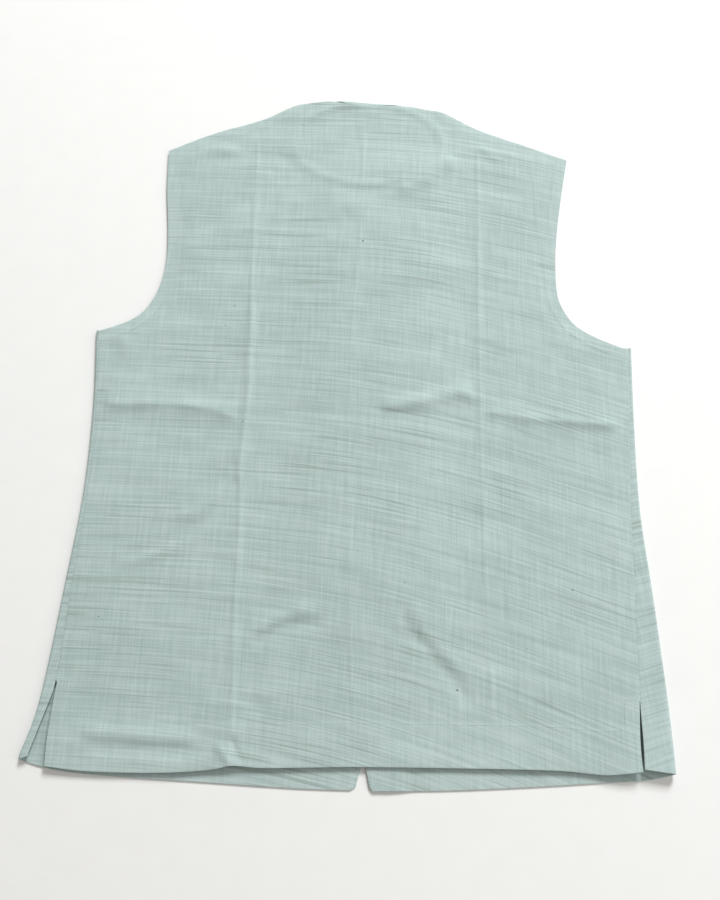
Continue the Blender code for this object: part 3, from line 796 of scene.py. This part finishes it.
def front_grid(side):
    """Rows of flat points of a front, from its lapped edge to the side seam."""
    sign = SIGN[side]
    lapped_x = CENTRE_FRONT - sign * LAP
    hem = FRONT_HEM[side]
    edge = FRONT_EDGE[side]
    armhole = armhole_line(FRONT_ARMHOLES, side)

    share = steps(FRONT_ROWS[0]) ** HEM_CROWDING
    y = mix(hem[-1][1] * CM, armhole[0][1] * CM, share)
    fold, wrap, radius = side_at(side, y)
    fold_start = (fold - CLOTH / 2 - radius)[:, None]
    fold_end = fold_start + math.pi * radius[:, None]
    seam = fold_end + (wrap - CLOTH / 2 - radius)[:, None]
    inner_y = mix(edge[0][1] * CM, 0.0, share)
    inner = paired(read_table(edge, 1, 0, inner_y), inner_y)
    begin = sign * inner[:, :1]
    anchors = (begin, begin + NEAR_EDGE_WIDTH, fold_start, fold_end, seam)
    shares = (between(anchors, FRONT_COLUMNS) - begin) / (seam - begin)
    outer = paired(sign * seam[:, 0], y)

    armhole[0] = tuple(outer[-1] / CM)
    upper = curve_through(armhole, steps(FRONT_ROWS[1]) ** UNDERARM_CROWDING)[1:]
    up = (upper[:, 1] - upper[0, 1]) / (upper[-1, 1] - upper[0, 1])
    neck_y = FRONT_NECK[side][0][1] * CM
    upper_inner = paired(np.full(up.shape, lapped_x), mix(0.0, neck_y, up))
    even = steps(shares.shape[1] - 1)
    upper_shares = mix(shares[-1], even, ease(up)[:, None])
    outer = np.concatenate([outer, upper])
    inner = np.concatenate([inner, upper_inner])
    shares = np.concatenate([shares, upper_shares])

    top = edge_through([FRONT_NECK[side], FRONT_SHOULDER[side]],
                       [len(even) - 1 - SHOULDER_COLUMNS, SHOULDER_COLUMNS])
    hem_x = mix(inner[0, 0], outer[0, 0], shares)
    hem_shape = (hem_x, outline_y(hem, sign * hem_x))
    return [bent(inner, outer, shares, k, (hem_shape[k], np.interp(shares, even, top[:, k])))
            for k in (0, 1)]


def make_front(side, finish):
    """One front, from its lapped edge round the side to the side seam."""
    sign = SIGN[side]
    x, y = front_grid(side)
    seam_gap = np.abs(x[:, -1:] - x)
    lapped_gap = np.abs(x - x[:, :1])
    hem_gap = y - outline_y(FRONT_HEM[side], sign * x)
    vent_gap = seam_gap + 2 * VENT_TURN * ease((y - VENT_TOP) / CM)
    turned = folded_over((lapped_gap, FACING_TURN), (hem_gap, FRONT_HEM_TURN),
                         (vent_gap, FRONT_VENT_TURN))
    if side == "left":
        x, y, turned = x[:, ::-1], y[:, ::-1], turned[:, ::-1]
    along = paired(x + WEAVE_SHIFT[side], bowed(x, y))
    corners = placed(*roll_round_side(side, x, y, front_level(side, x, y)))
    return cloth_sheet(f"front_{side}_cloth", corners, along, turned, CLOTH, finish)


COLLAR_ROWS = 220
COLLAR_ROLL_COLUMNS = 12
COLLAR_FLAT_COLUMNS = 22


def make_collar(finish):
    """The collar, a band round the neck seam that lies folded in under the back."""
    line = curve_through(COLLAR, steps(COLLAR_ROWS), (CM, CM, math.pi / 180, MM))
    x, y, turn, lap = (line[:, k:k + 1] for k in range(4))
    turn, lap = np.maximum(turn, 0.0), np.maximum(lap, 0.0)
    run = run_along(line)[:, None]
    from_end = np.minimum(run, run[-1] - run)
    short = np.maximum(0.0, COLLAR_END_ROUND - from_end)
    width = COLLAR_WIDTH - COLLAR_END_ROUND
    width = width + np.sqrt(np.maximum(0.0, COLLAR_END_ROUND ** 2 - short ** 2))
    centre_x, centre_y = COLLAR_INNER_CENTRE
    half_x, half_y = COLLAR_INNER_HALF
    angle = np.arctan2((y - centre_y) / (half_y + COLLAR_WIDTH),
                       (x - centre_x) / (half_x + COLLAR_WIDTH))
    out_x = x - centre_x - half_x * np.cos(angle)
    out_y = y - centre_y - half_y * np.sin(angle)
    out_length = np.hypot(out_x, out_y)

    roll_width = math.pi * COLLAR_ROLL
    rolled = roll_width * steps(COLLAR_ROLL_COLUMNS)
    flat = mix(roll_width, width, steps(COLLAR_FLAT_COLUMNS)[1:])
    across = np.concatenate([np.broadcast_to(rolled, (len(line), len(rolled))), flat], axis=1)
    roll_start = -COLLAR_ROLL * np.sin(np.minimum(turn, math.pi / 2))
    roll_length = COLLAR_ROLL * turn
    rest = lap + roll_length - across
    bend = np.clip(rest, 0.0, roll_length) / COLLAR_ROLL
    beyond = np.maximum(rest - roll_length, 0.0)
    out = roll_start + COLLAR_ROLL * np.sin(bend) + beyond * np.cos(turn)
    out = out + np.minimum(rest, 0.0)
    rise = COLLAR_ROLL * (1.0 - np.cos(bend)) + beyond * np.sin(turn)
    at_x = x + out_x / out_length * out
    at_y = y + out_y / out_length * out
    level = COLLAR_CLOTH / 2 + PLACKET_LIFT * placket_at(at_x, at_y)
    neck_fade = ease(1.0 - (at_y - PLACKET_TOP) / PLACKET_TOP_FADE)
    right_half = run > run[-1] / 2
    level = level + np.where(right_half, COLLAR_STEP * lap_at(at_x) * neck_fade, 0.0)
    along = paired(np.broadcast_to(run, across.shape) + WEAVE_SHIFT["collar"], across)
    turned = np.ones(across.shape)
    return cloth_sheet("collar_cloth", placed(at_x, at_y, level + rise), along, turned,
                       COLLAR_CLOTH, finish)


# ---- Stitching ------------------------------------------------------------------------

STITCH_LENGTH = 2.5 * MM
STITCH_PITCH = 3.1 * MM
STITCH_HALF = (STITCH_LENGTH / 2, 0.22 * MM, 0.16 * MM)


def stitch_shape():
    """Corners and faces of one unit stitch, lying along x."""
    bpy.ops.object.select_all(action="DESELECT")
    bpy.ops.mesh.primitive_uv_sphere_add(segments=8, ring_count=4, radius=1.0,
                                         rotation=(0.0, math.pi / 2, 0.0))
    stitch = bpy.context.active_object
    bpy.ops.object.transform_apply(location=False, rotation=True, scale=False)
    corners = np.array([tuple(v.co) for v in stitch.data.vertices])
    faces = [tuple(face.vertices) for face in stitch.data.polygons]
    bpy.data.objects.remove(stitch, do_unlink=True)
    return corners, faces


STITCH_CORNERS, STITCH_FACES = stitch_shape()


def gathered(name, shapes, finish):
    """Many shapes with the unit stitch's faces, as one piece."""
    count = len(STITCH_CORNERS)
    faces = [tuple(count * i + k for k in face)
             for i in range(len(shapes)) for face in STITCH_FACES]
    mesh = bpy.data.meshes.new(name)
    mesh.from_pydata(np.concatenate(shapes).tolist(), [], faces)
    mesh.shade_smooth()
    mesh.materials.append(finish)
    return link(name, mesh)


def sewn(name, middles, ways, half_sizes, finish):
    """Many stitches as one piece: middles, directions, and half length, width, height."""
    shapes = []
    for middle, way in zip(middles, ways):
        along = Vector(way).normalized()
        side = Vector((0.0, 0.0, 1.0)).cross(along).normalized()
        up = along.cross(side)
        turn = np.array([along * half_sizes[0], side * half_sizes[1], up * half_sizes[2]])
        shapes.append(STITCH_CORNERS @ turn + np.array(middle))
    return gathered(name, shapes, finish)


def seam_places(line, pitch=STITCH_PITCH, length=STITCH_LENGTH):
    """Both ends of each stitch along a line of pattern points."""
    line = np.asarray(line)
    run = run_along(line)
    starts = np.arange(0.5 * pitch, run[-1] - length, pitch)
    ends = starts + length
    return [paired(*(np.interp(at, run, line[:, k]) for k in (0, 1)))
            for at in (starts, ends)]


def back_stitches(name, lines, finish):
    """Rows of stitching on the top of the back."""
    middles, ways = [], []
    for line in lines:
        points = [placed(at[:, 0], at[:, 1], back_height(at[:, 0], at[:, 1]) + CLOTH / 2)
                  for at in seam_places(line)]
        middles += list((points[0] + points[1]) / 2)
        ways += list(points[1] - points[0])
    return sewn(name, middles, ways, STITCH_HALF, finish)


def inset_line(line, inset):
    """A line moved to its left by an inset."""
    way = np.gradient(line, axis=0)
    way /= np.hypot(way[:, 0], way[:, 1])[:, None]
    return line + inset * paired(-way[:, 1], way[:, 0])


EDGE_STITCH = 0.4 * CM
TURN_INSET = 1.0 * MM
HEM_STITCH_ENDS = 1.5
VENT_TOP_ROWS = (0.0, 0.9 * MM, 1.8 * MM)


def sew_back(finish):
    """Stitching of the back's armholes, hem and vents."""
    inset = ARMHOLE_TURN - TURN_INSET
    lines = [inset_line(curve_through(armhole_line(ARMHOLES, side), steps(80)),
                        sign * inset)[3:] for side, sign in SIGN.items()]
    hem_x = CM * np.linspace(BACK_HEM[0][0] + HEM_STITCH_ENDS,
                             BACK_HEM[-1][0] - HEM_STITCH_ENDS, 120)
    hem_y = outline_y(BACK_HEM, hem_x) + HEM_TURN - TURN_INSET
    lines.append(paired(hem_x, hem_y))
    for side, hem_corner in (("left", BACK_HEM[0]), ("right", BACK_HEM[-1])):
        y = np.linspace(hem_corner[1] * CM + 3 * MM, VENT_TOP, 40)
        edge = back_edge_at(side, y - MM)
        for inset in (VENT_TURN - TURN_INSET, EDGE_STITCH):
            lines.append(paired(edge - SIGN[side] * inset, y))
        across = np.linspace(0.1 * CM, VENT_TURN, 8)
        for lift in VENT_TOP_ROWS:
            lines.append(paired(edge[-1] - SIGN[side] * across,
                                np.full(across.shape, VENT_TOP + lift)))
    return back_stitches("stitches_back", lines, finish)


def sew_fronts(side, finish):
    """Stitching of a front's wrap beside the vent, seen from above."""
    sign = SIGN[side]
    y = np.linspace(FRONT_HEM[side][-1][1] * CM + 4 * MM, VENT_TOP, 40)
    fold, wrap, _ = side_at(side, y)
    seam_x = sign * (fold - wrap)
    line = paired(seam_x + sign * EDGE_STITCH, y)
    points = []
    for at in seam_places(line):
        _, _, here = side_at(side, at[:, 1])
        points.append(placed(at[:, 0], at[:, 1], 2 * here + CLOTH))
    return sewn(f"stitches_front_{side}", (points[0] + points[1]) / 2,
                points[1] - points[0], STITCH_HALF, finish)


# ---- Buttons --------------------------------------------------------------------------

BUTTON_RIM = 1.3 * MM
BUTTON_DISH = 0.5 * MM
BUTTON_EDGE = 0.45 * MM
BUTTON_EDGE_SEGMENTS = 4
BUTTON_EDGE_ANGLE = 40
HOLE_RADIUS = 0.85 * MM
HOLE_OFFSET = 1.5 * MM
THREAD_RADIUS = 0.35 * MM
BUTTONHOLE_LENGTH = 18.0 * MM
BUTTONHOLE_STITCH = 1.5 * MM
BUTTONHOLE_PITCH = 0.55 * MM


HOLES = [(x, y) for x in (-HOLE_OFFSET, HOLE_OFFSET) for y in (-HOLE_OFFSET, HOLE_OFFSET)]


def add_rod(radius, depth, place, vertices):
    """An upright rod about a place, selected alone."""
    bpy.ops.object.select_all(action="DESELECT")
    bpy.ops.mesh.primitive_cylinder_add(vertices=vertices, radius=radius, depth=depth,
                                        location=place)
    return bpy.context.active_object


def turn_button():
    """One button at the origin, its dished face down, with four holes."""
    middle = BUTTON_THICKNESS / 2
    button = add_rod(BUTTON_RADIUS, BUTTON_THICKNESS, (0.0, 0.0, middle), 64)
    bpy.ops.object.transform_apply(location=True, rotation=False, scale=False)
    bpy.ops.object.mode_set(mode="EDIT")
    shape = bmesh.from_edit_mesh(button.data)
    for face in shape.faces:
        face.select = face.normal.z < -0.5
    bpy.ops.mesh.inset(thickness=BUTTON_RIM)
    bpy.ops.mesh.inset(thickness=BUTTON_DISH * 2, depth=-BUTTON_DISH)
    bpy.ops.object.mode_set(mode="OBJECT")
    round_edges(button, BUTTON_EDGE, BUTTON_EDGE_SEGMENTS, BUTTON_EDGE_ANGLE)
    apply_modifiers(button)
    for x, y in HOLES:
        drill = add_rod(HOLE_RADIUS, 4 * BUTTON_THICKNESS, (x, y, middle), 20)
        hole = button.modifiers.new("hole", "BOOLEAN")
        hole.operation = "DIFFERENCE"
        hole.solver = "EXACT"
        hole.object = drill
        apply_modifiers(button)
        bpy.data.objects.remove(drill, do_unlink=True)
    pick(button)
    bpy.ops.object.shade_smooth_by_angle(angle=math.radians(35))
    return button


def button_thread(number, centre, face, thread):
    """The thread through one button's holes, in two bars across its face."""
    middles = [(centre.x + x, centre.y, face) for x in (-HOLE_OFFSET, HOLE_OFFSET)]
    along = [(0.0, 1.0, 0.0)] * len(middles)
    half = (HOLE_OFFSET + THREAD_RADIUS, THREAD_RADIUS, THREAD_RADIUS)
    bars = sewn(f"button_thread_{number}", middles, along, half, thread)
    for x, y in HOLES:
        place = (centre.x + x, centre.y + y, face + BUTTON_THICKNESS / 2)
        shank = add_rod(THREAD_RADIUS, BUTTON_THICKNESS, place, 10)
        shank.data.materials.append(thread)
        bars.select_set(True)
        bpy.context.view_layer.objects.active = bars
        bpy.ops.object.join()
    bars.data.shade_smooth()
    return bars


def buttonhole(number, centre, under, thread):
    """Close stitches on both sides of one buttonhole, on the left front's right side."""
    places = np.arange(-BUTTONHOLE_LENGTH / 2, BUTTONHOLE_LENGTH / 2, BUTTONHOLE_PITCH)
    middles = [(centre.x + place, centre.y + side * BUTTONHOLE_STITCH / 2, under)
               for place in places for side in (-1.0, 1.0)]
    ends = [(centre.x + side * BUTTONHOLE_LENGTH / 2, centre.y + lift, under)
            for side in (-1.0, 1.0) for lift in (-BUTTONHOLE_PITCH, 0.0, BUTTONHOLE_PITCH)]
    ways = [(0.0, 1.0, 0.0)] * len(middles) + [(1.0, 0.0, 0.0)] * len(ends)
    half = (BUTTONHOLE_STITCH / 2, BUTTONHOLE_PITCH / 2, THREAD_RADIUS / 2)
    return sewn(f"buttonhole_{number}", middles + ends, ways, half, thread)


def sew_buttons(resin, thread):
    """The five buttons with their thread and worked buttonholes."""
    model = turn_button()
    model.data.materials.append(resin)
    for number in range(1, BUTTON_COUNT + 1):
        low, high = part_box(f"button_{number}")
        centre = (low + high) / 2
        shape = model.data.copy()
        shape.name = f"resin_button_{number}"
        shape.transform(Matrix.Translation((centre.x, centre.y, low.z)))
        button = link(shape.name, shape)
        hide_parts(f"button_{number}")
        button_thread(number, centre, low.z + BUTTON_DISH, thread)
        buttonhole(number, centre, low.z + PLACKET_LIFT, thread)
    bpy.data.objects.remove(model, do_unlink=True)


# ---- Specks ---------------------------------------------------------------------------

# Dark seed husks caught in the yarn: x and y in centimetres, half length in millimetres
# and turn in degrees.
HUSKS = [
    (-0.4, 11.4, 1.5, 60), (-13.7, 3.5, 0.9, 10), (-14.5, 1.2, 0.7, 0),
    (21.0, -25.3, 1.2, 0), (9.9, -35.0, 1.6, -8), (4.8, -25.1, 0.9, 20),
    (-24.4, -29.3, 0.9, 0), (-11.9, -9.3, 1.0, 30), (-6.3, 18.6, 0.7, 45),
    (16.5, -31.0, 0.7, 10), (0.2, -22.2, 0.6, 0), (8.4, -5.4, 0.6, 0),
]


HUSK_ROUGHNESS = 0.25
HUSK_WIDTH = 0.4
HUSK_HALF_HEIGHT = 0.22 * MM


def scatter_husks(finish):
    """The husks, half sunk in the back."""
    spots = np.array(HUSKS)
    x, y = spots[:, 0] * CM, spots[:, 1] * CM
    points = placed(x, y, back_height(x, y) + CLOTH / 2)
    shapes = []
    for point, half, turn in zip(points, spots[:, 2] * MM, np.radians(spots[:, 3])):
        bumps = np.sin(STITCH_CORNERS.sum(axis=1) * 9.0 + half * 4000.0)
        rough = 1.0 + HUSK_ROUGHNESS * bumps
        shape = STITCH_CORNERS * rough[:, None] * (half, HUSK_WIDTH * half, HUSK_HALF_HEIGHT)
        spun = np.stack([shape[:, 0] * math.cos(turn) - shape[:, 1] * math.sin(turn),
                         shape[:, 0] * math.sin(turn) + shape[:, 1] * math.cos(turn),
                         shape[:, 2]], axis=1)
        shapes.append(spun + point)
    return gathered("husks", shapes, finish)


# ---- Finishes -------------------------------------------------------------------------


def operator(operation, swapped=False):
    """A Python operator on values that adds a Math node."""
    def combine(value, other):
        pair = (other, value) if swapped else (value, other)
        return value.maths(operation, *pair)
    return combine


class Value:
    """A shader value: an expression on it adds its Math nodes."""

    __add__, __radd__ = operator("ADD"), operator("ADD", swapped=True)
    __sub__, __rsub__ = operator("SUBTRACT"), operator("SUBTRACT", swapped=True)
    __mul__, __rmul__ = operator("MULTIPLY"), operator("MULTIPLY", swapped=True)

    def __init__(self, finish, socket):
        self.finish = finish
        self.socket = socket

    def maths(self, operation, *inputs):
        sockets = dict(enumerate(inputs))
        return self.finish.node("ShaderNodeMath", {"operation": operation}, sockets)

    def wave(self):
        return self.maths("SINE", self)

    def rise(self, low, high):
        """0 below low and 1 above high, with a smooth rise between."""
        return self.finish.node("ShaderNodeMapRange", {"interpolation_type": "SMOOTHSTEP"},
                                {0: self, 1: low, 2: high, 3: 0.0, 4: 1.0})


class Finish:
    """A procedural material that is written as expressions."""

    def __init__(self, name):
        self.material = bpy.data.materials.new(name)
        self.material.use_nodes = True
        self.tree = self.material.node_tree
        self.shader = self.tree.nodes["Principled BSDF"]

    def node(self, kind, settings, sockets, output=0):
        """Add a node: its settings, then its sockets' values or links."""
        made = self.tree.nodes.new(kind)
        for name, value in settings.items():
            setattr(made, name, value)
        for key, value in sockets.items():
            self.feed(made.inputs[key], value)
        return Value(self, made.outputs[output])

    def feed(self, socket, value):
        if isinstance(value, Value):
            self.tree.links.new(value.socket, socket)
        else:
            socket.default_value = value

    def set(self, **values):
        """Values or links of the shader's own sockets."""
        for name, value in values.items():
            self.feed(self.shader.inputs[name.replace("_", " ").title()], value)

    def split(self, place):
        """x and y of a place."""
        x = self.node("ShaderNodeSeparateXYZ", {}, {0: place})
        return x, Value(self, x.socket.node.outputs[1])

    def weave_map(self):
        """Places across and along the cloth, in metres."""
        return self.split(self.node("ShaderNodeUVMap", {"uv_map": "weave"}, {}))

    def own_place(self):
        """Places in the piece's own space."""
        return self.node("ShaderNodeTexCoord", {}, {}, output=3)

    def grain(self, scale, detail, distortion=0.0):
        """Smooth noise about 0.5 in the piece's own space."""
        sockets = {"Vector": self.own_place(), "Scale": scale, "Detail": detail,
                   "Distortion": distortion}
        return self.node("ShaderNodeTexNoise", {"noise_dimensions": "3D"}, sockets)

    def cloud(self, x, y, seed, detail=2.0, roughness=0.5):
        """Smooth noise about 0.5, of unit size in x and y."""
        place = self.node("ShaderNodeCombineXYZ", {}, {0: x, 1: y, 2: seed})
        return self.node("ShaderNodeTexNoise", {"noise_dimensions": "3D"},
                         {"Vector": place, "Scale": 1.0, "Detail": detail,
                          "Roughness": roughness})

    def blend(self, amount, start, end):
        """A colour between two others."""
        return self.node("ShaderNodeMix", {"data_type": "RGBA"},
                         {0: amount, 6: start, 7: end}, output=2)

    def bump(self, height, strength=1.0):
        """A normal from a height in metres."""
        return self.node("ShaderNodeBump", {},
                         {"Strength": strength, "Distance": 1.0, "Height": height})


# Sizes of the weave, and of its slubs.
YARN_PITCH = 0.62 * MM
YARN_RISE = 0.05 * MM
SLUB_RISE = 0.08 * MM
WEFT_DRIFT = 3.0 * MM

COTTON_LIGHT = (0.514, 0.622, 0.616, 1.0)
COTTON = (0.351, 0.455, 0.443, 1.0)
COTTON_SLUB = (0.275, 0.330, 0.295, 1.0)


def handloom_cotton():
    """Plain-weave cotton, pale blue-green, with uneven yarn and darker weft slubs."""
    cotton = Finish("handloom_cotton")
    across, along = cotton.weave_map()
    drift = cotton.cloud(across * 9.0, along * 30.0, 3.1)
    weft = along + WEFT_DRIFT * (drift - 0.5)

    long_slub = cotton.cloud(across * 5.0, weft * 430.0, 0.0, 2.0, 0.55)
    short_slub = cotton.cloud(across * 18.0, weft * 760.0, 5.7, 1.0)
    thick_slub = cotton.cloud(across * 9.0, weft * 480.0, 9.2, 1.0)
    warp_yarn = cotton.cloud(across * 700.0, along * 30.0, 2.4, 1.0)
    mottle = cotton.cloud(across * 26.0, along * 60.0, 7.7, 3.0)
    patch = cotton.cloud(across * 7.0, along * 10.0, 1.3, 2.0)
    where = cotton.cloud(across * 10.0, along * 16.0, 4.4, 1.0)

    dark = thick_slub.rise(0.56, 0.70) * where.rise(0.38, 0.60)
    warp_wave = (across * (math.pi / YARN_PITCH)).wave()
    weft_wave = (weft * (math.pi / YARN_PITCH)).wave()
    check = warp_wave * weft_wave

    doubled = cotton.node("ShaderNodeAttribute", {"attribute_name": "doubled"}, {}, output=2)
    light = 0.5 + 0.85 * (long_slub - 0.5) + 0.75 * (short_slub - 0.5)
    light = light + 0.60 * (warp_yarn - 0.5) + 0.24 * (mottle - 0.5)
    light = light + 0.20 * (patch - 0.5) + 0.05 * check + 0.08 * doubled
    colour = cotton.blend(light.rise(0.0, 1.0), COTTON, COTTON_LIGHT)
    colour = cotton.blend(0.55 * dark, colour, COTTON_SLUB)

    height = YARN_RISE * check + SLUB_RISE * (long_slub - 0.5)
    height = height + 0.7 * SLUB_RISE * (short_slub - 0.5) + 0.5 * SLUB_RISE * (warp_yarn - 0.5)
    cotton.set(base_color=colour, roughness=0.92, normal=cotton.bump(height))
    cotton.shader.inputs["Sheen Weight"].default_value = 0.12
    cotton.shader.inputs["Sheen Roughness"].default_value = 0.5
    cotton.shader.inputs["Specular IOR Level"].default_value = 0.2
    return cotton.material


PLY_PITCH = 0.4 * MM
PLY_RISE = 0.03 * MM
THREAD_COLOURS = ((0.37, 0.46, 0.44, 1.0), (0.50, 0.59, 0.57, 1.0))
RESIN_COLOURS = ((0.46, 0.52, 0.49, 1.0), (0.62, 0.66, 0.62, 1.0))
RESIN_GRAIN_RISE = 0.02 * MM
HUSK_COLOURS = ((0.060, 0.060, 0.045, 1.0), (0.150, 0.150, 0.110, 1.0))
HUSK_GRAIN_RISE = 0.05 * MM


def sewing_thread():
    """Pale twisted thread."""
    thread = Finish("sewing_thread")
    x, y = thread.split(thread.own_place())
    ply = ((x + y) * (2 * math.pi / PLY_PITCH)).wave()
    colour = thread.blend(0.5 + 0.5 * ply, *THREAD_COLOURS)
    thread.set(base_color=colour, roughness=0.7, normal=thread.bump(PLY_RISE * ply))
    return thread.material


def button_resin():
    """Pale, softly polished resin with a faint cloud in it."""
    resin = Finish("button_resin")
    cloud = resin.grain(260.0, 3.0, distortion=1.5)
    grain = resin.grain(1800.0, 2.0)
    colour = resin.blend(cloud.rise(0.35, 0.65), *RESIN_COLOURS)
    resin.set(base_color=colour, roughness=0.30 + 0.15 * grain,
              normal=resin.bump(RESIN_GRAIN_RISE * grain))
    return resin.material


def husk_brown():
    """Dark, dry husk."""
    husk = Finish("husk")
    grain = husk.grain(2500.0, 2.0)
    colour = husk.blend(grain, *HUSK_COLOURS)
    husk.set(base_color=colour, roughness=0.9, normal=husk.bump(HUSK_GRAIN_RISE * grain))
    return husk.material


# ---- Studio ---------------------------------------------------------------------------

FLOOR_SIZE = 6.0
FLOOR_Z = -0.2 * MM
FLOOR_COLOURS = ((0.86, 0.86, 0.86, 1.0), (0.90, 0.90, 0.90, 1.0))
CAMERA_PLACE = Vector((0.0108, -0.296, 0.876))
CAMERA_AIM = Vector((0.0025, -0.045, 0.0))
CAMERA_LENS = 36.0


def make_floor():
    """A plain pale floor, which isn't part of the jacket."""
    bpy.ops.object.select_all(action="DESELECT")
    bpy.ops.mesh.primitive_plane_add(size=FLOOR_SIZE, location=(0.0, 0.0, FLOOR_Z))
    floor = bpy.context.active_object
    floor.name = "floor"
    pale = Finish("floor_paint")
    colour = pale.blend(pale.grain(40.0, 4.0), *FLOOR_COLOURS)
    pale.set(base_color=colour, roughness=0.8)
    floor.data.materials.append(pale.material)


def aimed(name, data, place, aim):
    """A light or a camera at a place, pointed at another."""
    holder = bpy.data.objects.new(name, data)
    bpy.context.collection.objects.link(holder)
    holder.location = place
    holder.rotation_euler = (aim - place).to_track_quat("-Z", "Y").to_euler()
    return holder


def add_light(name, place, size, power, colour):
    """A soft square light that faces the middle of the jacket."""
    light = bpy.data.lights.new(name, "AREA")
    light.shape = "SQUARE"
    light.size = size
    light.energy = power
    light.color = colour
    aimed(name, light, Vector(place), Vector((0.0, 0.0, 0.0)))


# Each light: place, side, power and colour.
LIGHTS = {
    "key": ((1.25, 3.9, 3.1), 1.6, 270.0, (0.98, 1.0, 1.0)),
    "fill": ((1.7, -0.1, 1.2), 1.4, 10.0, (1.0, 1.0, 1.0)),
}
SURROUND_COLOUR = (1.0, 0.96, 0.89, 1.0)
SURROUND_STRENGTH = 0.36


def light_studio():
    """Soft light from beyond the collar, over an even pale surround."""
    world = bpy.data.worlds.new("studio")
    bpy.context.scene.world = world
    world.use_nodes = True
    surround = world.node_tree.nodes["Background"]
    surround.inputs["Color"].default_value = SURROUND_COLOUR
    surround.inputs["Strength"].default_value = SURROUND_STRENGTH
    for name, light in LIGHTS.items():
        add_light(name, *light)
    bpy.context.scene.view_settings.view_transform = "Standard"


def place_camera():
    """The camera, above the hem and tilted towards the collar."""
    camera = bpy.data.cameras.new("camera")
    camera.lens = CAMERA_LENS
    camera.sensor_width = 36.0
    bpy.context.scene.camera = aimed("camera", camera, CAMERA_PLACE, CAMERA_AIM)


# ---- The jacket -----------------------------------------------------------------------

cotton = handloom_cotton()
thread = sewing_thread()
back = make_back(cotton)
fronts = {side: make_front(side, cotton) for side in ("left", "right")}
collar = make_collar(cotton)
back_sewing = sew_back(thread)
husks = scatter_husks(husk_brown())
front_sewing = {side: sew_fronts(side, thread) for side in ("left", "right")}
sew_buttons(button_resin(), thread)

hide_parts("back")
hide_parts("front_left")
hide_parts("front_right")
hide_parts("collar")

make_floor()
light_studio()
place_camera()
